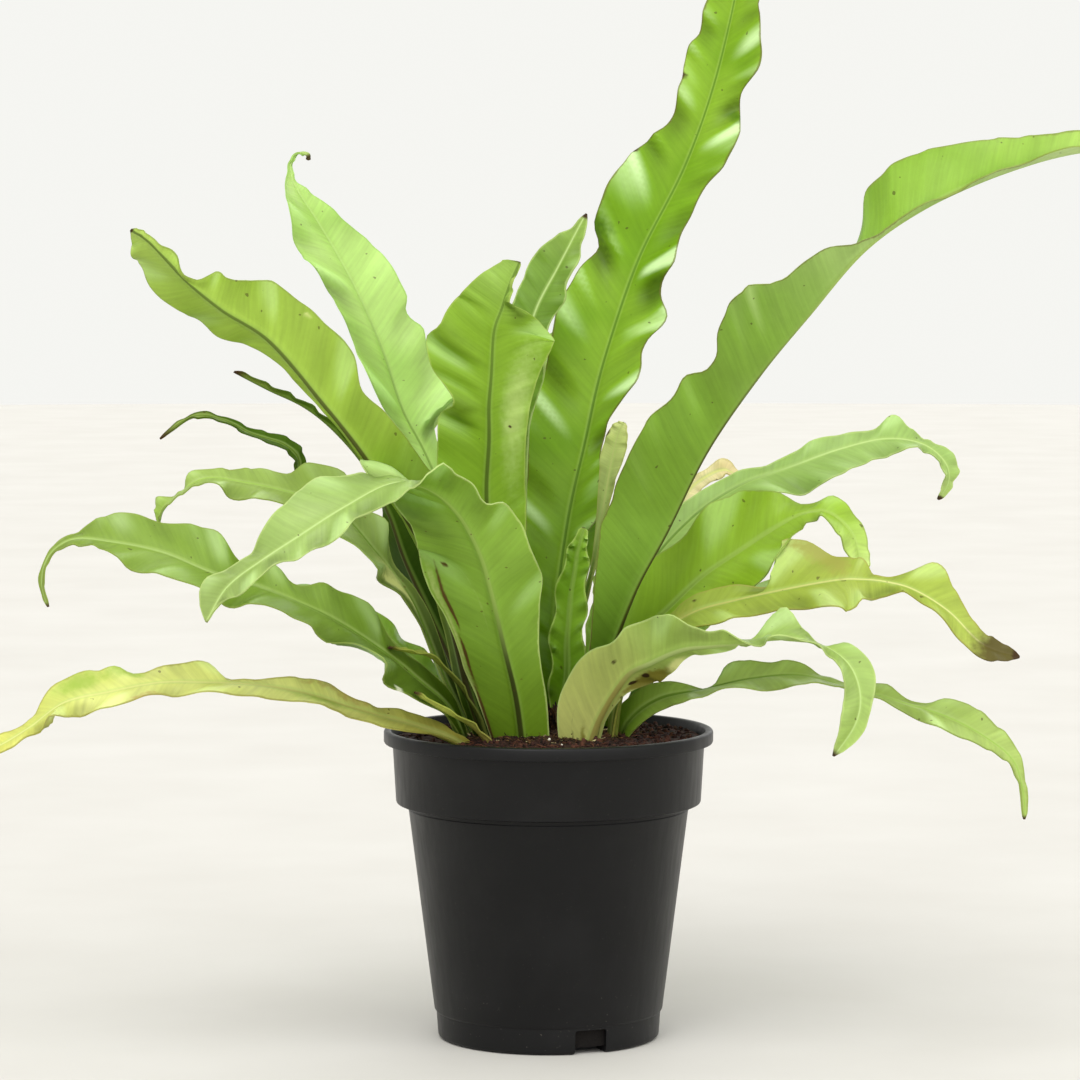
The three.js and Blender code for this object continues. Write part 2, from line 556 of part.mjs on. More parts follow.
// Point of the blade's middle surface at t along the rib and u across it, from -1 to 1
function surfacePoint(frond, section, t, u) {
  const opening = THREE.MathUtils.smoothstep(t, 0, OPEN_BY);
  const settling = 1 - THREE.MathUtils.smoothstep(t, SETTLE_FROM, 1);
  const fold = frond.fold * DEGREE * THREE.MathUtils.lerp(FOOT_FOLD, 1, opening);
  const reach = Math.abs(u);
  const swell = frond.ruffle * opening * settling;
  const turns = frond.waves * t + frond.phase + (u > 0 ? 0 : EDGE_SHIFT) - EDGE_LEAD * reach;
  const small = Math.sin(2 * Math.PI * (SMALL_PITCH * turns + SMALL_SHIFT));
  const wave = Math.sin(2 * Math.PI * turns) + SMALL_WAVE * small;
  const bulge = 1 + BULGE * swell * Math.cos(2 * Math.PI * turns);
  const width = bulge * (u > 0 ? section.left : section.right);
  const point = section.centre.clone();
  point.addScaledVector(section.side, u * width * Math.cos(fold));
  point.addScaledVector(section.face, reach * width * (Math.sin(fold) + swell * reach * wave));
  return point;
}

// Rows of points on the middle surface, and the direction of the upper face at each
function surfaceGrid(frond) {
  const curves = curvesOf(frond);
  const rows = [];
  for (let i = 0; i <= frond.steps; i += 1) {
    const t = i / frond.steps;
    const section = sectionOf(frond, curves, t);
    rows.push(frond.across.map((u) => surfacePoint(frond, section, t, u)));
  }
  const normals = rows.map((row, i) => row.map((point, j) => {
    const ahead = rows[Math.min(i + 1, rows.length - 1)][j];
    const behind = rows[Math.max(i - 1, 0)][j];
    const leftward = row[Math.min(j + 1, row.length - 1)];
    const rightward = row[Math.max(j - 1, 0)];
    return ahead.clone().sub(behind).cross(leftward.clone().sub(rightward)).normalize();
  }));
  return { rows, normals };
}

// Closed solid through rings that run over the upper face and back under it, point below point
function loft(rings) {
  const count = rings[0].length;
  const last = rings.length - 1;
  const at = (ring, i) => ring * count + (i % count);
  const index = [];
  const quad = (a, b, c, d) => index.push(a, b, c, a, c, d);
  for (let ring = 0; ring < last; ring += 1) {
    for (let i = 0; i < count; i += 1) {
      const [a, b, c, d] = [at(ring, i), at(ring + 1, i), at(ring + 1, i + 1), at(ring, i + 1)];
      if (i < count / 2) {
        quad(a, b, c, d);
      } else {
        quad(b, c, d, a);
      }
    }
  }
  for (let i = 0; i < count / 2 - 1; i += 1) {
    const below = count - 1 - i;
    quad(at(0, i), at(0, i + 1), at(0, below - 1), at(0, below));
    quad(at(last, i), at(last, below), at(last, below - 1), at(last, i + 1));
  }
  const geometry = new THREE.BufferGeometry();
  const positions = rings.flat().flatMap((point) => point.toArray());
  geometry.setAttribute('position', new THREE.Float32BufferAttribute(positions, 3));
  geometry.setIndex(index);
  return geometry;
}

// Blade of a frond: the middle surface thickened to both faces, with a keel under the rib
function frondGeometry(frond) {
  const { rows, normals } = surfaceGrid(frond);
  const rings = rows.map((row, i) => {
    const t = i / frond.steps;
    const stalk = 1 - THREE.MathUtils.smoothstep(t, 0, STALK_END);
    const upper = [];
    const lower = [];
    row.forEach((point, j) => {
      const nearRib = 1 - Math.abs(frond.across[j]);
      const half = THREE.MathUtils.lerp(BLADE_THICKNESS, STALK_THICKNESS, stalk * nearRib) / 2;
      const keel = frond.across[j] === 0 ? KEEL_DEPTH * (1 - KEEL_FADE * t) : 0;
      upper.push(point.clone().addScaledVector(normals[i][j], half));
      lower.push(point.clone().addScaledVector(normals[i][j], -half - keel));
    });
    return [...upper, ...lower.reverse()];
  });
  return loft(rings);
}

// Plain hole round the foot of a frond, up to where it is clear of the crown and the soil
function socketGeometry(frond) {
  const curves = curvesOf(frond);
  const fold = frond.fold * DEGREE * FOOT_FOLD;
  const rings = [];
  for (let t = 0, z = 0; z < SOCKET_TOP; t += 1 / frond.steps) {
    const { centre, along, side, face, left, right } = sectionOf(frond, curves, t);
    if (t === 0) {
      centre.addScaledVector(along, -SOCKET_GAP);
    }
    const above = STALK_THICKNESS / 2 + Math.sin(fold) * Math.max(left, right) + SOCKET_GAP;
    const below = STALK_THICKNESS / 2 + KEEL_DEPTH + SOCKET_GAP;
    const leftward = side.clone().multiplyScalar(left + SOCKET_GAP);
    const rightward = side.clone().multiplyScalar(-right - SOCKET_GAP);
    const corners = [[rightward, above], [leftward, above], [leftward, -below], [rightward, -below]];
    rings.push(corners.map(([reach, height]) => centre.clone().add(reach).addScaledVector(face, height)));
    z = centre.z;
  }
  return loft(rings);
}

function withSockets(solid) {
  return FRONDS.reduce((left, frond) => left.subtract(solidOf(socketGeometry(frond))), solid);
}

const soil = solidOf(soilGeometry()).subtract(solidOf(crownSeat()));
const crown = solidOf(crownGeometry());

const fern = new THREE.Group();
fern.add(subMesh('pot', potWithNotches(), '#2a2b2c', 0.45));
fern.add(subMesh('soil', geometryOf(withSockets(soil)), '#3a2118', 0.95));
fern.add(subMesh('crown', geometryOf(withSockets(crown)), '#4a3420', 0.9));
for (const frond of FRONDS) {
  fern.add(subMesh(frond.name, frondGeometry(frond), frond.color, 0.4));
}

export default fern;
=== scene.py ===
"""Looks of a strap-leaved fern in a nursery pot, in metres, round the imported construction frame."""

import logging
import math
from dataclasses import dataclass, replace
from enum import Enum
from random import Random
from typing import Callable

import bpy
import numpy as np
from mathutils import Matrix, Vector, noise


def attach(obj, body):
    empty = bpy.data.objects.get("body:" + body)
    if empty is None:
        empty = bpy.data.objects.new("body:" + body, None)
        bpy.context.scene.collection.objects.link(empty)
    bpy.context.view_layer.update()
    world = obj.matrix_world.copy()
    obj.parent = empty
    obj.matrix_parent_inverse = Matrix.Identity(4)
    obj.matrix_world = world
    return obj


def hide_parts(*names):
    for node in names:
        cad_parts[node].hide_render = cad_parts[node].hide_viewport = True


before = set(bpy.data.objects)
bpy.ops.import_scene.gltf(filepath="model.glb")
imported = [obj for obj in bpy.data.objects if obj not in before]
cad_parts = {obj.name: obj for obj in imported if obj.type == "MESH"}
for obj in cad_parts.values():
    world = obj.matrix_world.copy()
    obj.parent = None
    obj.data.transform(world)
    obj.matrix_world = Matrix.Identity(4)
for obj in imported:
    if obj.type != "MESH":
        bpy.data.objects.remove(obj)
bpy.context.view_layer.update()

LOG = logging.getLogger("fern")
MM = 0.001
DEGREE = math.pi / 180
TURN = 2 * math.pi
MOUND_SMOOTH = 60.0
GAMMA_KNEE, GAMMA_SLOPE, GAMMA_SHIFT, GAMMA = 0.04045, 12.92, 0.055, 2.4

Colour = tuple[int, int, int]
Pixels = tuple[tuple[int, int], ...]
Rows = tuple[tuple[float, ...], ...]
Range = tuple[float, float]
Put = Callable[[np.ndarray, int], tuple[np.ndarray, float]]
Surface = Callable[[float, float], float]
Socket = bpy.types.NodeSocket


def linear(colour: Colour) -> tuple[float, float, float, float]:
    """Turns a display colour into scene light.

    Args:
        colour: Red, green and blue from 0 to 255, as a screen shows them.

    Returns:
        Linear red, green and blue with an opaque alpha.
    """
    light = []
    for channel in colour:
        share = channel / 255
        curved = ((share + GAMMA_SHIFT) / (1 + GAMMA_SHIFT)) ** GAMMA
        light.append(share / GAMMA_SLOPE if share <= GAMMA_KNEE else curved)
    return (*light, 1.0)


def smoothstep(value: float, low: float, high: float) -> float:
    """Rises smoothly from 0 at low to 1 at high."""
    share = min(max((value - low) / (high - low), 0.0), 1.0)
    return share * share * (3 - 2 * share)


def bell(distance: float, width: float) -> float:
    """Falls smoothly from 1 at no distance, with the given width."""
    return math.exp(-((distance / width) ** 2))


class Paint:
    """Node tree of one material, with a short call for each kind of node it needs."""

    def __init__(self, name: str) -> None:
        """Starts an empty material.

        Args:
            name: Name of the material.
        """
        self.material = bpy.data.materials.new(name)
        self.material.use_nodes = True
        self.tree = self.material.node_tree
        self.tree.nodes.clear()

    def feed(self, socket: Socket, value: object) -> None:
        """Links a socket to another, or sets its own value.

        Args:
            socket: Input that takes the value.
            value: Output socket, number, vector or colour.
        """
        if isinstance(value, Socket):
            self.tree.links.new(value, socket)
        else:
            socket.default_value = value

    def node(self, kind: str, inputs: dict | None = None, **settings: object) -> bpy.types.Node:
        """Adds a node.

        Args:
            kind: Type of the node.
            inputs: Values or sockets for its inputs, by name or number.
            settings: Its own settings.

        Returns:
            The node.
        """
        made = self.tree.nodes.new(kind)
        for key, value in settings.items():
            setattr(made, key, value)
        for key, value in (inputs or {}).items():
            self.feed(made.inputs[key], value)
        return made

    def math(self, operation: str, first: object, second: object = 0.0, third: object = 0.0) -> Socket:
        """One sum.

        Args:
            operation: Name of the sum.
            first: First number or socket.
            second: Second number or socket.
            third: Third number or socket, for a sum that takes three.

        Returns:
            Socket with the result.
        """
        inputs = {0: first, 1: second, 2: third}
        return self.node("ShaderNodeMath", inputs, operation=operation).outputs[0]

    def rise(self, value: object, low: object, high: object) -> Socket:
        """Rises smoothly from 0 to 1.

        Args:
            value: What it follows.
            low: Where it leaves 0.
            high: Where it reaches 1.

        Returns:
            Socket with a share.
        """
        inputs = {"Value": value, "From Min": low, "From Max": high}
        return self.node("ShaderNodeMapRange", inputs, interpolation_type="SMOOTHSTEP").outputs[0]

    def mix(self, share: object, first: object, second: object, blend: str = "MIX") -> Socket:
        """Mixes two colours.

        Args:
            share: How much of the second shows.
            first: First colour.
            second: Second colour.
            blend: How they mix.

        Returns:
            Socket with the colour.
        """
        inputs = {0: share, 6: first, 7: second}
        return self.node("ShaderNodeMix", inputs, data_type="RGBA", blend_type=blend).outputs[2]

    def noise(self, place: Socket, scale: float, detail: float = 2.0) -> Socket:
        """Cloudy noise.

        Args:
            place: Coordinates.
            scale: Clouds a unit.
            detail: How many finer layers it has.

        Returns:
            Socket with a share near a half.
        """
        inputs = {"Vector": place, "Scale": scale, "Detail": detail}
        return self.node("ShaderNodeTexNoise", inputs).outputs[0]

    def split(self, vector: Socket) -> tuple[Socket, Socket, Socket]:
        """The three numbers of a vector."""
        made = self.node("ShaderNodeSeparateXYZ", {0: vector})
        return made.outputs[0], made.outputs[1], made.outputs[2]

    def join(self, x: object, y: object, z: object = 0.0) -> Socket:
        """A vector out of three numbers."""
        return self.node("ShaderNodeCombineXYZ", {0: x, 1: y, 2: z}).outputs[0]

    def attribute(self, name: str) -> Socket:
        """A vector that the mesh itself holds."""
        return self.node("ShaderNodeAttribute", attribute_name=name).outputs[1]

    def place(self) -> Socket:
        """Object coordinates."""
        return self.node("ShaderNodeTexCoord").outputs["Object"]

    def bump(self, height: Socket, depth: float, strength: float) -> Socket:
        """Relief that only the light sees.

        Args:
            height: Height as a share.
            depth: Height of a whole share in metres.
            strength: How much of it shows.

        Returns:
            Socket with the normal.
        """
        inputs = {"Strength": strength, "Distance": depth, "Height": height}
        return self.node("ShaderNodeBump", inputs).outputs[0]

    def principled(self, inputs: dict) -> Socket:
        """A plain surface shader with these inputs."""
        return self.node("ShaderNodeBsdfPrincipled", inputs).outputs[0]

    def done(self, shader: Socket) -> bpy.types.Material:
        """Ends the material with a shader.

        Args:
            shader: Socket of the shader.

        Returns:
            The material.
        """
        self.node("ShaderNodeOutputMaterial", {0: shader})
        return self.material


@dataclass(frozen=True)
class BladeFinish:
    """One face of a fern blade: leaf tissue with its veins, rib, rim, ageing and damage, with painted sheen
    on the pleat crests, painted shade in the pleat valleys and, on pale finishes, a painted highlight along
    the edge.
    """

    name: str
    face: Colour
    shade: Colour
    rib: Colour
    rib_foot: Colour
    # Edge colour: a real brown edge on some finishes, and on the pale ones a painted highlight where light
    # catches the edge.
    margin_and_edge_highlight: Colour
    tip: Colour
    foot: Colour
    shoulder: Colour = (190, 214, 124)
    scorch: Colour = (70, 48, 24)
    pale: Colour = (222, 226, 150)
    stain: Colour = (84, 124, 26)
    dry: Colour = (188, 160, 86)
    rib_width: float = 1.0 * MM
    rib_share: float = 0.85
    rib_fade: Range = (0.25, 0.55)
    shoulder_share: float = 0.35
    rim_width: float = 0.8 * MM
    rim_share: float = 0.7
    tip_from: float = 0.75
    foot_to: float = 0.25
    scorch_from: float = 0.985
    roughness: float = 0.38
    coat: float = 0.1
    glow: float = 0.3
    streak: float = 0.16
    # Painted shade and light by the pleats: the tone darkens in the valleys and lightens on the crests.
    painted_fold_shade: float = 0.17
    # Painted sheen: a pale colour mixed in on the pleat crests, standing in for light glancing off them.
    painted_sheen: Colour = (206, 228, 176)
    painted_sheen_share: float = 0.25
    specular: float = 0.26

    cloud_scale = 24.0
    cloud_range = (0.36, 0.66)
    grit_scale = 420.0
    grit_detail = 3.0
    speck_scale = 330.0
    speck_range = (0.755, 0.78)
    speck_share = 0.6
    vein_slant = -0.62
    streak_scale = (60.0, 640.0)
    streak_detail = 2.5
    band_scale = (30.0, 120.0)
    ageing_spread = 0.3
    painted_sheen_range = (0.1, 1.2)
    foot_from = 0.03
    foot_spread = 0.12
    tone_level = 0.92
    band_tone = 0.22
    grit_tone = 0.1
    grit_level = 0.08
    rib_taper = 0.6
    shoulder_reach = 2.4
    rib_core = 0.4
    rim_core = 0.25
    rim_ragged = 1.2
    pale_ragged = 0.25
    stain_ragged = 0.35
    dry_ragged = 0.6
    scorch_ragged = 0.4
    scorch_spread = 0.03
    mark_range = (0.25, 0.7)
    mark_share = 0.95
    gloss_vary = 0.14
    scorch_roughness = 0.3
    relief_depth = 0.35 * MM
    relief_share = 0.5
    streak_relief = 0.7
    coat_roughness = 0.22
    ior = 1.45

    def material(self) -> bpy.types.Material:
        """The finish as a material, made once.

        Returns:
            The material.
        """
        if self.name in bpy.data.materials:
            return bpy.data.materials[self.name]
        paint = Paint(self.name)
        across, along, crest = paint.split(paint.attribute("blade"))
        brown, pale, dark = paint.split(paint.attribute("marks"))
        t, inward, dry = paint.split(paint.attribute("growth"))
        away = paint.math("ABSOLUTE", across)
        place = paint.place()
        cloud = paint.noise(place, self.cloud_scale)
        loose = paint.math("SUBTRACT", cloud, 0.5)
        grit = paint.noise(place, self.grit_scale, self.grit_detail)
        run = paint.math("MULTIPLY_ADD", away, self.vein_slant, along)
        streaks = self.veins(paint, across, run, self.streak_scale, self.streak_detail)
        bands = self.veins(paint, across, run, self.band_scale, 1.0)

        colour = paint.mix(
            paint.rise(cloud, *self.cloud_range), linear(self.face), linear(self.shade))
        ageing = paint.math("MULTIPLY_ADD", loose, self.ageing_spread, t)
        colour = paint.mix(paint.rise(ageing, self.tip_from, 1.0), colour, linear(self.tip))
        # Painted sheen: the colour turns pale and whitish on the pleat crests.
        painted_sheen = paint.math("MULTIPLY", paint.rise(crest, *self.painted_sheen_range), self.painted_sheen_share)
        colour = paint.mix(painted_sheen, colour, linear(self.painted_sheen))
        # Foot colour towards the crown: the real darker green of a blade's base, and on the very dark feet of
        # the shaded fronds painted shade.
        uneven = paint.math("MULTIPLY_ADD", loose, self.foot_spread, t)
        foot = paint.math("SUBTRACT", 1.0, paint.rise(uneven, self.foot_from, self.foot_to))
        colour = paint.mix(foot, colour, linear(self.foot))
        tone = paint.math("MULTIPLY_ADD", streaks, 2 * self.streak, self.tone_level - self.streak)
        tone = paint.math("MULTIPLY_ADD", bands, self.band_tone, tone)
        tone = paint.math("MULTIPLY_ADD", grit, self.grit_tone, paint.math("SUBTRACT", tone, self.grit_level))
        # Painted shade and light by the pleats: darker in the valleys, lighter on the crests.
        tone = paint.math("MULTIPLY_ADD", crest, self.painted_fold_shade, tone)
        colour = paint.mix(1.0, colour, paint.join(tone, tone, tone), "MULTIPLY")

        taper = paint.math("MULTIPLY_ADD", t, -self.rib_taper * self.rib_width, self.rib_width)
        wide = paint.math("MULTIPLY", taper, self.shoulder_reach)
        beside = paint.math("SUBTRACT", 1.0, paint.rise(away, taper, wide))
        colour = paint.mix(paint.math("MULTIPLY", beside, self.shoulder_share), colour, linear(self.shoulder))
        inner = paint.math("MULTIPLY", taper, self.rib_core)
        body = paint.math("SUBTRACT", 1.0, paint.rise(away, inner, taper))
        rib = paint.mix(paint.rise(t, *self.rib_fade), linear(self.rib_foot), linear(self.rib))
        colour = paint.mix(paint.math("MULTIPLY", body, self.rib_share), colour, rib)

        rough = paint.math("SUBTRACT", grit, 0.5)
        # Edge band in the margin colour: real brown edges, and on pale finishes a painted highlight where
        # light catches the edge.
        ragged = paint.math("MULTIPLY_ADD", rough, self.rim_ragged * self.rim_width, inward)
        rim = paint.math("SUBTRACT", 1.0, paint.rise(ragged, self.rim_core * self.rim_width, self.rim_width))
        colour = paint.mix(paint.math("MULTIPLY", rim, self.rim_share), colour, linear(self.margin_and_edge_highlight))
        for amount, spread, shown in (
            (pale, self.pale_ragged, self.pale), (dark, self.stain_ragged, self.stain),
            (dry, self.dry_ragged, self.dry),
        ):
            colour = paint.mix(self.blotch(paint, amount, rough, spread), colour, linear(shown))
        burn = paint.math("MULTIPLY_ADD", loose, self.scorch_spread, t)
        colour = paint.mix(paint.rise(burn, self.scorch_from, 1.0), colour, linear(self.scorch))
        speck = paint.rise(paint.noise(place, self.speck_scale, 1.0), *self.speck_range)
        colour = paint.mix(paint.math("MULTIPLY", speck, self.speck_share), colour, linear(self.scorch))
        dead = self.blotch(paint, brown, rough, self.scorch_ragged)
        colour = paint.mix(dead, colour, linear(self.scorch))

        gloss = paint.math("MULTIPLY_ADD", cloud, self.gloss_vary, self.roughness - self.gloss_vary / 2)
        gloss = paint.math("MULTIPLY_ADD", dead, self.scorch_roughness, gloss)
        fibres = paint.math("MULTIPLY", streaks, self.streak_relief)
        height = paint.math("MULTIPLY_ADD", grit, 1 - self.streak_relief, fibres)
        surface = paint.principled({
            "Base Color": colour, "Roughness": gloss, "IOR": self.ior,
            "Normal": paint.bump(height, self.relief_depth, self.relief_share),
            "Specular IOR Level": self.specular,
            "Coat Weight": self.coat, "Coat Roughness": self.coat_roughness,
        })
        through = paint.node("ShaderNodeBsdfTranslucent", {"Color": colour}).outputs[0]
        blend = paint.node("ShaderNodeMixShader", {0: self.glow, 1: surface, 2: through})
        return paint.done(blend.outputs[0])

    @staticmethod
    def veins(paint: Paint, across: Socket, run: Socket, scale: Range, detail: float) -> Socket:
        """Noise drawn out along the side veins.

        Args:
            paint: Material it belongs to.
            across: Distance from the rib.
            run: Distance along the rib at which the side vein of this place leaves it.
            scale: Clouds a metre along and across the veins.
            detail: How many finer layers it has.

        Returns:
            Socket with a share near a half.
        """
        course = paint.join(paint.math("MULTIPLY", across, scale[0]), paint.math("MULTIPLY", run, scale[1]))
        return paint.noise(course, 1.0, detail)

    def blotch(self, paint: Paint, amount: Socket, rough: Socket, spread: float) -> Socket:
        """Share of a mark with an uneven edge.

        Args:
            paint: Material it belongs to.
            amount: How strong the mark is there.
            rough: Fine noise round 0.
            spread: How far the noise eats into the edge.

        Returns:
            Socket with the share.
        """
        uneven = paint.math("MULTIPLY_ADD", rough, spread, amount)
        return paint.math("MULTIPLY", paint.rise(uneven, *self.mark_range), self.mark_share)


@dataclass(frozen=True)
class PotPlastic:
    """Satin black-grey moulded plastic with a fine skin, faint flow marks and dust."""

    name: str = "pot_plastic"
    body: Colour = (15, 15, 16)
    worn: Colour = (22, 22, 23)
    dust: Colour = (84, 80, 74)
    roughness: float = 0.4

    cloud_scale = 34.0
    cloud_detail = 4.0
    cloud_range = (0.4, 0.75)
    skin_scale = 1500.0
    skin_relief = 0.4
    flow_scale = 70.0
    flow_stretch = 5.0
    flow_gloss = 0.2
    dust_scale = 900.0
    dust_range = (0.7, 0.76)
    dust_share = 0.12
    dust_below = (4 * MM, 30 * MM)
    dust_gain = 0.5
    relief_depth = 0.12 * MM
    relief_share = 0.4
    ior = 1.5
    specular = 0.2

    def material(self) -> bpy.types.Material:
        """The finish as a material.

        Returns:
            The material.
        """
        paint = Paint(self.name)
        place = paint.place()
        x, y, z = paint.split(place)
        cloud = paint.noise(place, self.cloud_scale, self.cloud_detail)
        skin = paint.noise(place, self.skin_scale)
        stretch = self.flow_stretch
        along = paint.join(paint.math("MULTIPLY", x, stretch), paint.math("MULTIPLY", y, stretch), z)
        flow = paint.noise(along, self.flow_scale)
        speck = paint.rise(paint.noise(place, self.dust_scale), *self.dust_range)
        low = paint.math("SUBTRACT", 1.0, paint.rise(z, *self.dust_below))
        amount = paint.math("MULTIPLY_ADD", low, self.dust_gain, self.dust_share)
        soiled = paint.math("MULTIPLY", speck, amount)
        colour = paint.mix(paint.rise(cloud, *self.cloud_range), linear(self.body), linear(self.worn))
        colour = paint.mix(soiled, colour, linear(self.dust))
        gloss = paint.math("MULTIPLY_ADD", flow, self.flow_gloss, self.roughness - self.flow_gloss / 2)
        lines = paint.math("MULTIPLY", flow, 1 - self.skin_relief)
        height = paint.math("MULTIPLY_ADD", skin, self.skin_relief, lines)
        return paint.done(paint.principled({
            "Base Color": colour, "Roughness": gloss, "IOR": self.ior, "Specular IOR Level": self.specular,
            "Normal": paint.bump(height, self.relief_depth, self.relief_share),
        }))


@dataclass(frozen=True)
class LooseMatter:
    """Fibrous matter of mixed grains, each grain with its own tint, and painted nearly black low down, as
    shade deep inside the pot.
    """

    name: str
    deep: Colour
    mid: Colour
    light: Colour
    pale: Colour
    painted_deep_shade: Colour = (10, 6, 4)
    painted_shade_below: float = 60 * MM
    roughness: float = 0.92
    grain: float = 900.0

    detail = 3.0
    clump = 3.0
    clump_range = (0.4, 0.62)
    crumb_range = (0.5, 0.75)
    crumb_share = 0.6
    light_tints = (0.45, 1.0)
    pale_tints = (1.2, 1.6)
    relief_depth = 0.8 * MM
    relief_share = 0.8
    fine_relief = 0.5
    ior = 1.35

    def material(self) -> bpy.types.Material:
        """The finish as a material.

        Returns:
            The material.
        """
        paint = Paint(self.name)
        place = paint.place()
        height = paint.split(place)[2]
        tint = paint.split(paint.attribute("tint"))[0]
        coarse = paint.noise(place, self.grain / self.clump, self.detail)
        fine = paint.noise(place, self.grain, self.detail)
        colour = paint.mix(paint.rise(coarse, *self.clump_range), linear(self.deep), linear(self.mid))
        warm = paint.math("MULTIPLY", paint.rise(fine, *self.crumb_range), self.crumb_share)
        colour = paint.mix(warm, colour, linear(self.light))
        colour = paint.mix(paint.rise(tint, *self.light_tints), colour, linear(self.light))
        colour = paint.mix(paint.rise(tint, *self.pale_tints), colour, linear(self.pale))
        # Painted shade: nearly black low down, where the soil shows only in the shade inside the pot's
        # notches.
        dry = paint.rise(height, self.painted_shade_below / 2, self.painted_shade_below)
        colour = paint.mix(dry, linear(self.painted_deep_shade), colour)
        relief = paint.math("MULTIPLY_ADD", fine, self.fine_relief, coarse)
        return paint.done(paint.principled({
            "Base Color": colour, "Roughness": self.roughness, "IOR": self.ior,
            "Normal": paint.bump(relief, self.relief_depth, self.relief_share),
        }))


COIR = LooseMatter("coir", deep=(26, 13, 10), mid=(56, 31, 25), light=(94, 56, 40), pale=(226, 220, 205))
ROOTSTOCK = LooseMatter(
    "rootstock", deep=(26, 17, 10), mid=(58, 38, 22), light=(120, 88, 52), pale=(205, 190, 140))


def bare_selection() -> None:
    """Leaves edit mode and deselects everything."""
    if bpy.context.object and bpy.context.object.mode != "OBJECT":
        bpy.ops.object.mode_set(mode="OBJECT")
    bpy.ops.object.select_all(action="DESELECT")


def apply_modifiers(piece: bpy.types.Object) -> None:
    """Applies all of a piece's modifiers in their order.

    Args:
        piece: The piece.
    """
    bare_selection()
    piece.select_set(True)
    bpy.context.view_layer.objects.active = piece
    for modifier in list(piece.modifiers):
        bpy.ops.object.modifier_apply(modifier=modifier.name)


def smooth(piece: bpy.types.Object, angle: float) -> None:
    """Shades a piece smooth where its faces meet at a small angle.

    Args:
        piece: The piece.
        angle: Greatest angle between smooth faces, in degrees.
    """
    bare_selection()
    piece.select_set(True)
    bpy.context.view_layer.objects.active = piece
    bpy.ops.object.shade_smooth_by_angle(angle=angle * DEGREE)


def dress(piece: bpy.types.Object, *materials: bpy.types.Material) -> None:
    """Gives a piece its materials.

    Args:
        piece: The piece.
        materials: Its materials, in the order of its faces' material numbers.
    """
    piece.data.materials.clear()
    for material in materials:
        piece.data.materials.append(material)


def place_piece(piece: bpy.types.Object, slot: str, *nodes: str) -> None:
    """Sets a piece in the frame and reports it.

    Args:
        piece: The finished piece.
        slot: Material slot of the record; not used.
        nodes: Construction nodes that it stands for.
    """
    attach(piece, "root")
    if nodes:
        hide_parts(*nodes)
    LOG.info("%s: %d faces", piece.name, len(piece.data.polygons))


def lathed(name: str, rings: list[Range], sides: int) -> bpy.types.Object:
    """Round closed body, drawn up ring by ring from its bottom disc.

    Args:
        name: Name of the piece.
        rings: Radius and height of each ring in metres, from the bottom disc to the last one.
        sides: Number of sides.

    Returns:
        The body.
    """
    bare_selection()
    radius, height = rings[0]
    bpy.ops.mesh.primitive_circle_add(
        vertices=sides, radius=radius, fill_type="NGON", location=(0, 0, height))
    piece = bpy.context.object
    piece.name = name
    bpy.ops.object.transform_apply(location=True, rotation=True, scale=True)
    bpy.ops.object.mode_set(mode="EDIT")
    bpy.ops.mesh.select_all(action="SELECT")
    for wide, high in rings[1:]:
        bpy.ops.mesh.extrude_region_move(TRANSFORM_OT_translate={"value": (0, 0, high - height)})
        grow = wide / radius
        bpy.ops.transform.resize(value=(grow, grow, 1), center_override=(0, 0, 0))
        radius, height = wide, high
    bpy.ops.mesh.select_all(action="SELECT")
    bpy.ops.mesh.normals_make_consistent(inside=False)
    bpy.ops.object.mode_set(mode="OBJECT")
    return piece


def arc(x: float, z: float, radius: float, start: float, end: float, steps: int = 5) -> list[Range]:
    """Points of a round corner.

    Args:
        x: Radius of its centre from the axis.
        z: Height of its centre.
        radius: Its own radius.
        start: First angle in degrees.
        end: Last angle in degrees.
        steps: Number of steps.

    Returns:
        Radius and height of each point.
    """
    points = []
    for i in range(steps + 1):
        angle = (start + (end - start) * i / steps) * DEGREE
        points.append((x + radius * math.cos(angle), z + radius * math.sin(angle)))
    return points


def tinted(piece: bpy.types.Object, tints: np.ndarray) -> None:
    """Stores a tint for each point of a piece, as a vector with the tint first.

    Args:
        piece: The piece.
        tints: One tint for each point.
    """
    values = np.zeros((len(piece.data.vertices), 3), np.float32)
    values[:, 0] = tints
    layer = piece.data.attributes.new("tint", "FLOAT_VECTOR", "POINT")
    layer.data.foreach_set("vector", values.ravel())


def points_of(piece: bpy.types.Object) -> np.ndarray:
    """Points of a piece's mesh.

    Args:
        piece: The piece.

    Returns:
        One row for each point.
    """
    co = np.zeros(len(piece.data.vertices) * 3)
    piece.data.vertices.foreach_get("co", co)
    return co.reshape(-1, 3)


def copies(model: bpy.types.Object, name: str, count: int, put: Put) -> bpy.types.Object:
    """Many copies of a small model in one mesh, each with its own form and tint.

    Args:
        model: What is copied, removed afterwards.
        name: Name of the piece.
        count: Number of copies.
        put: Takes the model's points and a copy's number, and gives its points and tint.

    Returns:
        The piece.
    """
    base = points_of(model)
    faces = [tuple(polygon.vertices) for polygon in model.data.polygons]
    points, found, tints = [], [], []
    for i in range(count):
        shaped, tint = put(base, i)
        start = i * len(base)
        points.extend(shaped.tolist())
        found.extend(tuple(start + k for k in face) for face in faces)
        tints.extend([tint] * len(base))
    mesh = bpy.data.meshes.new(name)
    mesh.from_pydata(points, [], found)
    piece = bpy.data.objects.new(name, mesh)
    bpy.context.scene.collection.objects.link(piece)
    bpy.data.objects.remove(model)
    mesh.shade_smooth()
    tinted(piece, np.array(tints))
    return piece


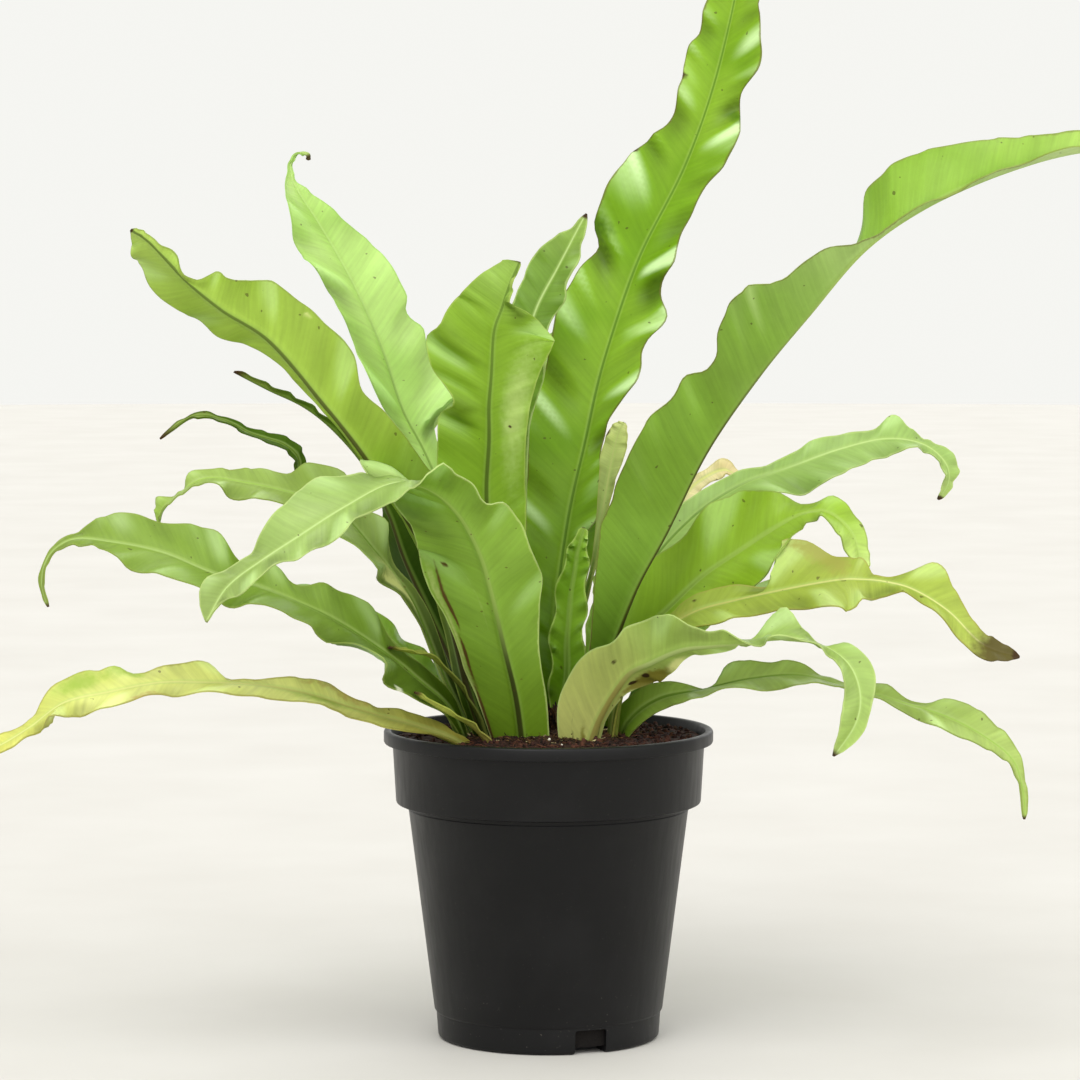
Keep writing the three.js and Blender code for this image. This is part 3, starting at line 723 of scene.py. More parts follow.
def strand_model(sides: int = 6, rings: int = 8) -> bpy.types.Object:
    """Spindle along X from -1 to 1, pointed at both ends.

    Args:
        sides: Number of its sides.
        rings: Number of its rings.

    Returns:
        The spindle.
    """
    bare_selection()
    bpy.ops.mesh.primitive_uv_sphere_add(
        segments=sides, ring_count=rings, radius=1, rotation=(0, TURN / 4, 0))
    bpy.ops.object.transform_apply(location=True, rotation=True, scale=True)
    return bpy.context.object


def mounded(piece: bpy.types.Object, co: np.ndarray, above: float, surface: Surface) -> None:
    """Lifts the upper points of a body to a surface and leaves it untinted.

    Args:
        piece: The body.
        co: Its points.
        above: Height above which points are lifted.
        surface: Gives the height at a place.
    """
    for i in np.nonzero(co[:, 2] > above)[0]:
        co[i, 2] = surface(co[i, 0], co[i, 1])
    piece.data.vertices.foreach_set("co", co.ravel())
    tinted(piece, np.zeros(len(co)))
    smooth(piece, MOUND_SMOOTH)


def turned(points: np.ndarray, yaw: float, pitch: float, roll: float) -> np.ndarray:
    """Points turned about X by roll, Y by pitch and Z by yaw, in radians."""
    turn = Matrix.Rotation(yaw, 3, "Z") @ Matrix.Rotation(pitch, 3, "Y") @ Matrix.Rotation(roll, 3, "X")
    return points @ np.array(turn).T


@dataclass
class NurseryPot:
    """Round tapered pot with a lip, a collar, a foot and drain notches. Sizes in metres."""

    height: float = 122 * MM
    lip_radius: float = 65 * MM
    lip_height: float = 5.2 * MM
    lip_width: float = 3.1 * MM
    lip_round: float = 1.1 * MM
    collar_top: float = 61.5 * MM
    collar_foot: float = 60.2 * MM
    collar_height: float = 29 * MM
    body_top: float = 55.6 * MM
    body_foot: float = 45.2 * MM
    foot_height: float = 11 * MM
    foot_step: float = 0.8 * MM
    base_radius: float = 43.8 * MM
    base_round: float = 1.5 * MM
    wall: float = 1.5 * MM
    floor: float = 2.2 * MM
    edge: float = 0.8 * MM
    inner_step: float = 1 * MM
    bead: float = 0.35 * MM
    bead_stand: float = 0.6
    bead_drop: float = 2.2 * MM
    sides: int = 144
    smooth_angle: float = 32.0
    notch: tuple[float, float, float] = (22 * MM, 13 * MM, 18.8 * MM)
    notch_angle: float = -68.0
    notch_count: int = 3
    notch_round: float = 0.9 * MM
    notch_segments: int = 3

    @property
    def collar_low(self) -> float:
        """Height of the collar's lower edge."""
        return self.height - self.collar_height

    def outside(self) -> list[Range]:
        """Rings from the bottom disc up to the outer edge of the rim.

        Returns:
            Radius and height of each ring.
        """
        low = self.collar_low
        lip = self.height - self.lip_height
        edge = self.edge
        bead_high = low - self.bead_drop
        rings = arc(self.base_radius - self.base_round, self.base_round, self.base_round, -90, 0)
        rings += [
            (self.body_foot - self.foot_step, self.foot_height - edge),
            (self.body_foot - self.foot_step / 3, self.foot_height - edge / 3),
            (self.body_foot, self.foot_height + edge / 3),
        ]
        for k, stand in enumerate((0, 1, 1, 0)):
            high = bead_high + (k - 2) * self.bead
            share = (high - self.foot_height) / (low - self.foot_height)
            radius = self.body_foot + (self.body_top - self.body_foot) * share
            rings.append((radius + self.bead_stand * self.bead * stand, high))
        rings += [
            (self.body_top, low - edge),
            (self.body_top + edge / 3, low - edge / 3),
            (self.collar_foot - edge, low),
            (self.collar_foot - edge / 3, low + edge / 3),
            (self.collar_foot, low + edge),
            (self.collar_top, lip - edge),
            (self.collar_top + edge / 3, lip - edge / 4),
            (self.lip_radius - edge, lip),
            (self.lip_radius - edge / 3, lip + edge / 4),
            (self.lip_radius, lip + edge),
        ]
        return rings

    def inside(self) -> list[Range]:
        """Rings from the rim's inner edge down to the floor.

        Returns:
            Radius and height of each ring.
        """
        low = self.collar_low
        lip = self.height - self.lip_height
        return [
            (self.collar_top - self.wall, lip - self.inner_step),
            (self.collar_foot - self.wall, low + self.inner_step),
            (self.body_top - self.wall, low - self.wall),
            (self.body_foot - self.foot_step - self.wall, self.foot_height),
            (self.base_radius - self.wall, self.floor),
        ]

    def build(self) -> None:
        """Models the pot, cuts its notches and dresses it."""
        top = self.height - self.lip_round
        rim = arc(self.lip_radius - self.lip_round, top, self.lip_round, 0, 90)
        inner = self.lip_radius - self.lip_width + self.lip_round
        rim += arc(inner, top, self.lip_round, 90, 180)
        pot = lathed("nursery_pot", self.outside() + rim + self.inside(), self.sides)
        cutters = [self.cutter(i) for i in range(self.notch_count)]
        for cutter in cutters:
            cut = pot.modifiers.new("notch", "BOOLEAN")
            cut.operation = "DIFFERENCE"
            cut.solver = "EXACT"
            cut.object = cutter
        apply_modifiers(pot)
        for cutter in cutters:
            bpy.data.objects.remove(cutter)
        smooth(pot, self.smooth_angle)
        dress(pot, PotPlastic().material())
        place_piece(pot, "pot", "pot")

    def cutter(self, index: int) -> bpy.types.Object:
        """Block with round upper corners that cuts one drain notch.

        Args:
            index: Number of the notch.

        Returns:
            The block.
        """
        bare_selection()
        angle = (self.notch_angle + index * 360 / self.notch_count) * DEGREE
        bpy.ops.mesh.primitive_cube_add(size=1)
        block = bpy.context.object
        block.scale = self.notch
        block.location = (self.body_foot * math.cos(angle), self.body_foot * math.sin(angle), 0)
        block.rotation_euler = (0, 0, angle)
        bpy.ops.object.transform_apply(location=True, rotation=True, scale=True)
        rounding = block.modifiers.new("corners", "BEVEL")
        rounding.width = self.notch_round
        rounding.segments = self.notch_segments
        apply_modifiers(block)
        return block


@dataclass
class Soil:
    """Coir filling of the pot, mounded and crumbly, with loose grains and fibres on top."""

    pot: NurseryPot
    gap: float = 0.3 * MM
    top: float = 118.8 * MM
    mound: float = 2.2 * MM
    sides: int = 180
    rings: int = 60
    lump: float = 1.5 * MM
    clear: float = 2.5 * MM
    grains: int = 900
    fibres: int = 420
    seed: int = 11

    waves = ((150, 0.3, 0.5), (420, 0.7, 0.45))
    grain_size = (0.5, 1.1)
    grain_form = ((0.7, 1.5), (0.6, 1.1), (0.5, 0.9))
    grain_jag = 0.35
    jag_scale = 1.7
    grain_lift = 0.2
    grain_tint = 0.8
    pale_share = 0.012
    pale_tint = 1.8
    fibre_length = (3, 9)
    fibre_width = (0.1, 0.26)
    fibre_bend = (-0.3, 0.3)
    fibre_arch = (-0.1, 0.16)
    fibre_pitch = (-0.25, 0.25)
    fibre_lift = 0.4 * MM
    fibre_tint = (0.2, 1.1)

    def surface(self, x: float, y: float) -> float:
        """Height of the soil at a place.

        Args:
            x: Place along X.
            y: Place along Y.

        Returns:
            Height in metres.
        """
        radius = self.pot.collar_top - self.pot.wall
        rise = self.mound * (1 - math.hypot(x, y) / radius)
        lumps = sum(share * noise.noise(Vector((x, y, layer)) * scale) for scale, layer, share in self.waves)
        return self.top + rise + self.lump * lumps

    def build(self) -> None:
        """Models and dresses the body of soil and what lies on it."""
        wall = [(radius - self.gap, height) for radius, height in reversed(self.pot.inside())]
        wall[0] = (wall[0][0], self.pot.floor + self.gap)
        edge = wall[-1][0]
        flat = [(edge * (1 - i / self.rings), self.top) for i in range(self.rings)]
        body = lathed("soil_body", wall + flat, self.sides)
        mounded(body, points_of(body), self.top - self.gap / 3, self.surface)
        coir = COIR.material()
        dress(body, coir)
        place_piece(body, "soil", "soil")
        for k, scatter in enumerate((self.scatter_grains, self.scatter_fibres)):
            loose = scatter(Random(self.seed + k))
            dress(loose, coir)
            place_piece(loose, "soil")

    def spot(self, draw: Random) -> tuple[float, float]:
        """A random place on the soil.

        Args:
            draw: Source of the random draws.

        Returns:
            Its place along X and Y.
        """
        reach = (self.pot.collar_top - self.pot.wall - self.clear) * math.sqrt(draw.random())
        angle = draw.random() * TURN
        return reach * math.cos(angle), reach * math.sin(angle)

    def scatter_grains(self, draw: Random) -> bpy.types.Object:
        """Loose crumbs of many sizes, a few of them pale.

        Args:
            draw: Source of the random draws.

        Returns:
            The grains.
        """
        bare_selection()
        bpy.ops.mesh.primitive_ico_sphere_add(subdivisions=1, radius=1)
        model = bpy.context.object

        def put(base: np.ndarray, index: int) -> tuple[np.ndarray, float]:
            """One crumb.

            Args:
                base: Points of the model.
                index: Number of the copy.

            Returns:
                Its points and its tint.
            """
            least, more = self.grain_size
            size = (least + more * draw.random() ** 2) * MM
            form = np.array([draw.uniform(*limits) for limits in self.grain_form])
            away = Vector((index, 0, 0))
            jag = np.array([
                1 + self.grain_jag * noise.noise(Vector(point) * self.jag_scale + away) for point in base])
            shaped = turned(base * form * jag[:, None] * size, *(draw.random() * TURN for _ in range(3)))
            x, y = self.spot(draw)
            tint = self.pale_tint if draw.random() < self.pale_share else draw.random() * self.grain_tint
            return shaped + np.array([x, y, self.surface(x, y) + self.grain_lift * size]), tint

        return copies(model, "soil_grains", self.grains, put)

    def scatter_fibres(self, draw: Random) -> bpy.types.Object:
        """Short bent strands lying on the soil.

        Args:
            draw: Source of the random draws.

        Returns:
            The fibres.
        """
        model = strand_model()

        def put(base: np.ndarray, index: int) -> tuple[np.ndarray, float]:
            """One strand.

            Args:
                base: Points of the model.
                index: Number of the copy.

            Returns:
                Its points and its tint.
            """
            length = draw.uniform(*self.fibre_length) * MM
            thick = draw.uniform(*self.fibre_width) * MM
            shaped = base * np.array([length / 2, thick, thick])
            bend = draw.uniform(*self.fibre_bend) * length
            shaped[:, 1] += bend * (base[:, 0] ** 2)
            shaped[:, 2] += draw.uniform(*self.fibre_arch) * length * (1 - base[:, 0] ** 2)
            shaped = turned(shaped, draw.random() * TURN, draw.uniform(*self.fibre_pitch), 0)
            x, y = self.spot(draw)
            lifted = shaped + np.array([x, y, self.surface(x, y) + self.fibre_lift])
            return lifted, draw.uniform(*self.fibre_tint)

        return copies(model, "soil_fibres", self.fibres, put)


@dataclass
class Crown:
    """Rootstock: a low oval mound covered in brown papery scales. Sizes in metres."""

    radius_x: float = 38 * MM
    radius_y: float = 33 * MM
    bottom: float = 108 * MM
    shoulder: float = 118.7 * MM
    top: float = 123.6 * MM
    sides: int = 96
    rings: int = 24
    lump: float = 1.6 * MM
    scales: int = 2200
    seed: int = 23

    dome = 2.4
    lump_scale = 190
    lump_layer = 2.0
    foot_share = 0.97
    foot_round = 0.5 * MM
    step = 0.1 * MM
    scale_length = (1.4, 3.4)
    scale_width = (0.12, 0.34)
    scale_depth = 0.07
    scale_root = 0.8
    scale_curl = 0.12
    swing = (-0.9, 0.9)
    lean = (0.0, 0.55)
    tuft_reach = 0.45
    tuft_growth = 3.6
    tuft_lean = -0.8
    pale_share = 0.05
    pale_tint = 1.7

    def surface(self, x: float, y: float) -> float:
        """Height of the mound at a place.

        Args:
            x: Place along X.
            y: Place along Y.

        Returns:
            Height in metres.
        """
        reach = min(math.hypot(x / self.radius_x, y / self.radius_y), 1.0)
        dome = self.shoulder + (self.top - self.shoulder) * (1 - reach ** self.dome)
        return dome + self.lump * noise.noise(Vector((x, y, self.lump_layer)) * self.lump_scale)

    def build(self) -> None:
        """Models and dresses the mound and its scales."""
        rings = [(self.foot_share, self.bottom), (1.0, self.bottom + self.foot_round), (1.0, self.shoulder)]
        rings += [(1 - i / self.rings, self.shoulder + self.step) for i in range(1, self.rings)]
        mound = lathed("crown_mound", rings, self.sides)
        co = points_of(mound) * np.array([self.radius_x, self.radius_y, 1])
        mounded(mound, co, self.shoulder - self.step / 2, self.surface)
        root = ROOTSTOCK.material()
        dress(mound, root)
        place_piece(mound, "crown", "crown")
        scales = self.scatter_scales(Random(self.seed))
        dress(scales, root)
        place_piece(scales, "crown")

    def scatter_scales(self, draw: Random) -> bpy.types.Object:
        """Narrow papery scales that stand up and out of the mound.

        Args:
            draw: Source of the random draws.

        Returns:
            The scales.
        """
        model = strand_model()

        def put(base: np.ndarray, index: int) -> tuple[np.ndarray, float]:
            """One scale.

            Args:
                base: Points of the model.
                index: Number of the copy.

            Returns:
                Its points and its tint.
            """
            length = draw.uniform(*self.scale_length) * MM
            form = np.array([length / 2, draw.uniform(*self.scale_width) * MM, self.scale_depth * MM])
            shaped = (base + np.array([self.scale_root, 0, 0])) * form
            shaped[:, 2] += self.scale_curl * length * (base[:, 0] ** 2)
            reach = math.sqrt(draw.random())
            angle = draw.random() * TURN
            x, y = self.radius_x * reach * math.cos(angle), self.radius_y * reach * math.sin(angle)
            outward = math.atan2(y, x) + draw.uniform(*self.swing)
            lean = -draw.uniform(*self.lean)
            if reach < self.tuft_reach:
                shaped *= self.tuft_growth
                lean += self.tuft_lean
            shaped = turned(shaped, outward, lean, draw.random() * TURN)
            tint = self.pale_tint if draw.random() < self.pale_share else draw.uniform(0.0, 1.0)
            return shaped + np.array([x, y, self.surface(x, y)]), tint

        return copies(model, "crown_scales", self.scales, put)


class Curve:
    """Smooth line through points, with each point's slope set by its two neighbours."""

    def __init__(self, points: list[Vector]) -> None:
        """Keeps the points.

        Args:
            points: At least two points.
        """
        self.points = points

    def at(self, t: float) -> Vector:
        """Point at a share of the way.

        Args:
            t: From 0 at the first point to 1 at the last.

        Returns:
            The point.
        """
        last = len(self.points) - 1
        i = min(int(last * t), last - 1)
        w = last * t - i
        here, there = self.points[i], self.points[i + 1]
        before = self.points[i - 1] if i > 0 else 2 * here - there
        after = self.points[i + 2] if i + 2 <= last else 2 * there - here
        leave = (there - before) / 2
        reach = (after - here) / 2
        bend = 3 * (there - here) - 2 * leave - reach
        twist = 2 * (here - there) + leave + reach
        return here + leave * w + bend * w ** 2 + twist * w ** 3

    def direction(self, t: float) -> Vector:
        """Unit direction of the line at a share of the way."""
        near = 0.0001
        return (self.at(min(t + near, 1.0)) - self.at(max(t - near, 0.0))).normalized()


@dataclass(frozen=True)
class PhotoView:
    """Pinhole view of the photograph: a level look along +Y, tilted down. Lengths in metres."""

    place: tuple[float, float, float] = (-3.35 * MM, -1660 * MM, 320 * MM)
    tilt: float = 4.25
    focal: float = 4230.0
    middle: float = 540.0
    sensor: float = 36.0

    def pixel(self, point: Vector) -> Vector:
        """Where a point shows.

        Args:
            point: Point in the frame.

        Returns:
            Its pixel, across and down.
        """
        x, y, z = point - Vector(self.place)
        sine, cosine = math.sin(self.tilt * DEGREE), math.cos(self.tilt * DEGREE)
        depth = y * cosine - z * sine
        up = y * sine + z * cosine
        return Vector((self.middle + self.focal * x / depth, self.middle - self.focal * up / depth))

    def camera(self) -> None:
        """Makes the scene's camera."""
        data = bpy.data.cameras.new("view")
        data.sensor_width = self.sensor
        data.lens = self.focal / (2 * self.middle) * self.sensor
        view = bpy.data.objects.new("view", data)
        view.location = self.place
        view.rotation_euler = ((90 - self.tilt) * DEGREE, 0, 0)
        bpy.context.scene.collection.objects.link(view)
        bpy.context.scene.camera = view


VIEW = PhotoView()


@dataclass(frozen=True)
class Section:
    """Cross-section of a frond: its centre, directions and half-widths in metres."""

    centre: Vector
    side: Vector
    face: Vector
    left: float
    right: float


class Tone(Enum):
    """What a mark does to the blade."""

    BROWN = 0
    PALE = 1
    DARK = 2
    DRY = 3


@dataclass(frozen=True)
class Mark:
    """A patch on a blade, at t along it and u across it, with its half-length and half-width."""

    tone: Tone
    t: float
    u: float
    long: float
    wide: float
    strength: float = 1.0

    def weight(self, t: float, u: float, inward: float) -> float:
        """How strong the mark is at a place on the blade."""
        return self.strength * bell(math.hypot((t - self.t) / self.long, (u - self.u) / self.wide), 1.0)


@dataclass(frozen=True)
class Streak:
    """A line along one half of a blade, from one t to another, at a distance from the edge at each end."""

    tone: Tone
    half: int
    start: float
    end: float
    insets: Range
    width: float
    strength: float = 1.0

    rise_over = 0.03
    fall_over = 0.1

    def weight(self, t: float, u: float, inward: float) -> float:
        """How strong the streak is at a place on the blade.

        Args:
            t: Share of the way along the rib.
            u: Share of the way across.
            inward: Distance from the edge.

        Returns:
            Its share.
        """
        if u * self.half <= 0:
            return 0.0
        begun = smoothstep(t, self.start - self.rise_over, self.start)
        fade = begun * (1 - smoothstep(t, self.end - self.fall_over, self.end))
        low, high = self.insets
        inset = low + (high - low) * smoothstep(t, self.start, self.end)
        return self.strength * fade * bell(inward - inset, self.width)


@dataclass(frozen=True)
class Frond:
    """One frond: a channelled strap with waved edges on a rib through its rows.

    A row is x, y, z, the half-widths left and right of the rib as seen looking outwards from the
    crown, in millimetres, and the roll in degrees that lifts the left half. heading and fold are in
    degrees, and waves, ruffle and phase give the waves along the edges. The outlines are pixels of
    the photograph along the blade's edges, which trim its width where they show.
    """

    name: str
    slot: str
    upper: BladeFinish
    under: BladeFinish
    heading: float
    fold: float
    waves: float
    ruffle: float
    phase: float
    rows: Rows
    outlines: tuple[Pixels, ...] = ()
    halves: tuple[int, ...] = ()
    marks: tuple[Mark | Streak, ...] = ()
    pleat: float = 0.65 * MM
    pleat_pitch: float = 15 * MM
    lobe_lift: float = 1.2
    columns: int = 26
    pitch: float = 1.8 * MM
    trim: Range = (0.5, 1.8)

    foot_fold = 0.3
    open_by = 0.3
    settle_from = 0.85
    edge_shift = 0.37
    edge_lead = 0.18
    small_wave = 0.35
    small_pitch = 1.7
    small_shift = 0.3
    bulge = 0.8
    thin = 0.5 * MM
    stalk = 2.0 * MM
    stalk_end = 0.2
    keel = 0.9 * MM
    keel_fade = 0.7
    keel_width = 1.5 * MM
    groove = 0.35 * MM
    least = 0.8 * MM
    flesh_power = 0.7
    point = 0.02
    blunt = 0.01
    lean = 0.65
    lobe_length = 14 * MM
    crest_height = 1.6 * MM
    crest_range = (-1.6, 1.3)
    half_shifts = (4.5, 9.5)
    drift = 0.6
    drift_place = (0.4, 31)
    sharpen = 0.6
    vary = (0.6, 0.9)
    vary_place = (0.7, 20, 17)
    calm_foot = (0.06, 0.25)
    calm_tip = (0.93, 1.0)
    calm_rib = (0.03, 0.8)
    spacing = (0.65, 0.35)
    track_steps = 400
    smooth_angle = 55.0
    outline_steps = 6
    short_way = 4
    parallel = 1e-9
    least_found = 4
    fade_rows = 10
    median_rows = 2
    evening = (0.25, 0.5)

    def curves(self) -> tuple[Curve, Curve]:
        """The frond's two curves.

        Returns:
            The rib's line in metres, and the half-widths and the roll.
        """
        line = [Vector(row[:3]) * MM for row in self.rows]
        form = [Vector((row[3] * MM, row[4] * MM, row[5])) for row in self.rows]
        return Curve(line), Curve(form)

    def section(self, line: Curve, form: Curve, t: float) -> Section:
        """Cross-section at a share of the way along the rib.

        Args:
            line: Curve of the rib.
            form: Curve of the half-widths and the roll.
            t: Share of the way.

        Returns:
            The cross-section.
        """
        along = line.direction(t)
        left, right, roll = form.at(t)
        side = Vector((-math.sin(self.heading * DEGREE), math.cos(self.heading * DEGREE), 0))
        side = (side - side.dot(along) * along).normalized()
        side = Matrix.Rotation(roll * DEGREE, 3, along) @ side
        narrow = math.sqrt(min(1.0, (1.0 - t) / self.point + self.blunt))
        left, right = max(left, self.least) * narrow, max(right, self.least) * narrow
        return Section(line.at(t), side, along.cross(side), left, right)

    def spread(self, section: Section, t: float, u: float) -> Vector:
        """Way from the rib to a point of the blade, before its width is trimmed.

        Args:
            section: Cross-section at t.
            t: Share of the way along the rib.
            u: Share of the way across, from -1 at the right edge to 1 at the left.

        Returns:
            The way in metres.
        """
        opening = smoothstep(t, 0, self.open_by)
        settling = 1 - smoothstep(t, self.settle_from, 1)
        fold = self.fold * DEGREE * (self.foot_fold + (1 - self.foot_fold) * opening)
        reach = abs(u)
        swell = self.ruffle * opening * settling
        turns = self.waves * t + self.phase + (0 if u > 0 else self.edge_shift) - self.edge_lead * reach
        small = math.sin(TURN * (self.small_pitch * turns + self.small_shift))
        wave = math.sin(TURN * turns) + self.small_wave * small
        bulge = 1 + self.bulge * swell * math.cos(TURN * turns)
        width = bulge * (section.left if u > 0 else section.right)
        lift = math.sin(fold) + swell * reach * wave
        return section.side * (u * width * math.cos(fold)) + section.face * (reach * width * lift)

    def trims(self, sections: list[Section]) -> np.ndarray:
        """Share by which each half of each cross-section is widened to meet the outlines.

        Args:
            sections: The cross-sections from foot to tip.

        Returns:
            One row for each cross-section, with the left and the right share.
        """
        count = len(sections)
        shares = np.ones((count, 2))
        if not self.outlines:
            return shares
        halves = self.halves or (0,) * len(self.outlines)
        for column, u in enumerate((1, -1)):
            found = np.full(count, np.nan)
            lines = [self.smooth_outline(line) for line, half in zip(self.outlines, halves) if half != -u]
            for i, section in enumerate(sections):
                rib = VIEW.pixel(section.centre)
                edge = VIEW.pixel(section.centre + self.spread(section, i / (count - 1), u))
                found[i] = self.crossing(rib, edge, lines)
            shares[:, column] = self.filled(found)
        return shares

    def smooth_outline(self, outline: Pixels) -> np.ndarray:
        """An outline with rounded corners, as many short steps.

        Args:
            outline: Its pixels.

        Returns:
            Its points, one row each.
        """
        curve = Curve([Vector((x, y, 0)) for x, y in outline])
        steps = self.outline_steps * (len(outline) - 1)
        return np.array([curve.at(i / steps)[:2] for i in range(steps + 1)])

    def crossing(self, rib: Vector, edge: Vector, lines: list[np.ndarray]) -> float:
        """Where the way from the rib to the edge meets an outline.

        Args:
            rib: Pixel of the rib.
            edge: Pixel of the edge as modelled.
            lines: The outlines.

        Returns:
            Share of the modelled way, nearest to 1, or not a number if none is near.
        """
        way = np.array(edge - rib)
        best = float("nan")
        if np.hypot(*way) < self.short_way:
            return best
        for line in lines:
            start, step = line[:-1] - np.array(rib), np.diff(line, axis=0)
            spin = way[0] * step[:, 1] - way[1] * step[:, 0]
            spin = np.where(np.abs(spin) < self.parallel, self.parallel, spin)
            share = (start[:, 0] * step[:, 1] - start[:, 1] * step[:, 0]) / spin
            place = (start[:, 0] * way[1] - start[:, 1] * way[0]) / spin
            fits = (place >= 0) & (place <= 1) & (share > self.trim[0]) & (share < self.trim[1])
            for value in share[fits]:
                if math.isnan(best) or abs(math.log(value)) < abs(math.log(best)):
                    best = float(value)
        return best

    def filled(self, found: np.ndarray) -> np.ndarray:
        """Shares with their gaps filled from both sides and small jumps evened out.

        Args:
            found: Shares, not a number where nothing was found.

        Returns:
            Shares for every cross-section.
        """
        known = np.nonzero(~np.isnan(found))[0]
        if len(known) < self.least_found:
            return np.ones(len(found))
        full = np.interp(np.arange(len(found)), known, found[known])
        for end, order in ((known[0], -1), (known[-1], 1)):
            for i in range(end, -1 if order < 0 else len(found), order):
                full[i] = 1 + (full[end] - 1) * bell(i - end, self.fade_rows)
        padded = np.pad(full, self.median_rows, mode="edge")
        middle = np.median([padded[k:k + len(full)] for k in range(2 * self.median_rows + 1)], axis=0)
        padded = np.pad(middle, 1, mode="edge")
        beside, here = self.evening
        return beside * padded[:-2] + here * padded[1:-1] + beside * padded[2:]

    def lobes(self, sections: list[Section], shares: np.ndarray, step: float) -> np.ndarray:
        """How far each edge stands out of its own even run.

        Args:
            sections: The cross-sections from foot to tip.
            shares: Trims of both halves.
            step: Distance between cross-sections.

        Returns:
            One row for each cross-section, with the left and the right lobe in metres.
        """
        widths = np.array([(section.left, section.right) for section in sections]) * shares
        reach = max(round(self.lobe_length / step), 1)
        window = np.hanning(2 * reach + 3)
        padded = np.pad(widths, ((reach + 1, reach + 1), (0, 0)), mode="edge")
        even = [np.convolve(padded[:, k], window / window.sum(), "valid") for k in (0, 1)]
        return widths - np.column_stack(even)

    def build(self) -> None:
        """Models the frond from a flat sheet, thickens it and dresses both its faces."""
        line, form = self.curves()
        track = [line.at(i / self.track_steps) for i in range(self.track_steps + 1)]
        length = sum((b - a).length for a, b in zip(track, track[1:]))
        rows = round(length / self.pitch)
        sections = [self.section(line, form, i / rows) for i in range(rows + 1)]
        shares = self.trims(sections)
        lobes = self.lobes(sections, shares, length / rows)
        bare_selection()
        bpy.ops.mesh.primitive_grid_add(x_subdivisions=self.columns, y_subdivisions=rows, size=2)
        sheet = bpy.context.object
        sheet.name = f"{self.name}_blade"
        flat = points_of(sheet)
        count = len(flat)
        co, blade, growth = np.zeros((count, 3)), np.zeros((count, 3)), np.zeros((count, 3))
        marks, weights = np.zeros((count, len(Tone))), np.zeros(count)
        thickest = self.stalk + self.keel
        wide, dense = self.spacing
        lowest, highest = self.crest_range
        for k in range(count):
            s = -flat[k, 0]
            u = s * (wide + dense * s * s)
            i = round((flat[k, 1] + 1) / 2 * rows)
            t = i / rows
            section = sections[i]
            half = 0 if u > 0 else 1
            share = shares[i][half]
            width = (section.left, section.right)[half] * share
            across = abs(u) * width
            beyond = t * rows + self.lean * (width - across) / length * rows
            lobe = float(np.interp(beyond, np.arange(rows + 1), lobes[:, half]))
            relief = self.relief(t, length, across, u, lobe)
            rise = relief - self.groove * bell(across, self.keel_width)
            co[k] = section.centre + self.spread(section, t, u) * share + section.face * rise
            # The pleat height is kept for the finish, which paints shade in the valleys and sheen on the
            # crests.
            crest = min(max(relief / self.crest_height, lowest), highest)
            blade[k] = (u * width, t * length, crest)
            growth[k, :2] = (t, width - across)
            for mark in self.marks:
                marks[k, mark.tone.value] += mark.weight(t, u, width - across)
            weights[k] = self.thickness(t, across, abs(u)) / thickest
        growth[:, 2] = marks[:, Tone.DRY.value]
        sheet.data.vertices.foreach_set("co", co.ravel())
        for name, values in (("blade", blade), ("growth", growth), ("marks", marks[:, :Tone.DRY.value])):
            layer = sheet.data.attributes.new(name, "FLOAT_VECTOR", "POINT")
            layer.data.foreach_set("vector", values.astype(np.float32).ravel())
        group = sheet.vertex_groups.new(name="body")
        for k in range(count):
            group.add([k], float(weights[k]), "REPLACE")
        self.thicken(sheet, thickest)
        smooth(sheet, self.smooth_angle)
        place_piece(sheet, self.slot, self.name)

    def relief(self, t: float, length: float, across: float, u: float, lobe: float) -> float:
        """Height of the pleats between the side veins.

        Args:
            t: Share of the way along.
            length: Length of the frond.
            across: Distance from the rib.
            u: Share of the way across.
            lobe: How far the edge stands out where this point's side veins reach it.

        Returns:
            Height in metres.
        """
        turns = (t * length - self.lean * across) / self.pleat_pitch
        half = self.half_shifts[0 if u > 0 else 1]
        scale, layer = self.drift_place
        turns += self.drift * noise.noise(Vector((scale * turns, half, self.phase * layer)))
        angle = TURN * turns + half
        crimp = math.sin(angle + self.sharpen * math.sin(angle))
        level, spread = self.vary
        scale, shift, layer = self.vary_place
        vary = level + spread * noise.noise(Vector((scale * turns, half + shift, self.phase * layer)))
        calm = smoothstep(t, *self.calm_foot) * (1 - smoothstep(t, *self.calm_tip))
        calm *= smoothstep(abs(u), *self.calm_rib)
        return calm * (self.pleat * vary * crimp + self.lobe_lift * lobe)

    def thickness(self, t: float, across: float, reach: float) -> float:
        """Thickness of the blade.

        Args:
            t: Share of the way along.
            across: Distance from the rib.
            reach: Share of the way across.

        Returns:
            Thickness in metres.
        """
        stalk = 1 - smoothstep(t, 0, self.stalk_end)
        flesh = self.thin + (self.stalk - self.thin) * stalk * (1 - reach) ** self.flesh_power
        return flesh + self.keel * (1 - self.keel_fade * t) * bell(across, self.keel_width)

    def thicken(self, sheet: bpy.types.Object, thickest: float) -> None:
        """Gives the sheet its thickness, with the other finish underneath.

        Args:
            sheet: The shaped sheet.
            thickest: Greatest thickness.
        """
        dress(sheet, self.upper.material(), self.under.material())
        body = sheet.modifiers.new("body", "SOLIDIFY")
        body.thickness = thickest
        body.offset = -1
        body.vertex_group = "body"
        body.material_offset = 1
        body.material_offset_rim = 0
        apply_modifiers(sheet)
        sheet.vertex_groups.clear()


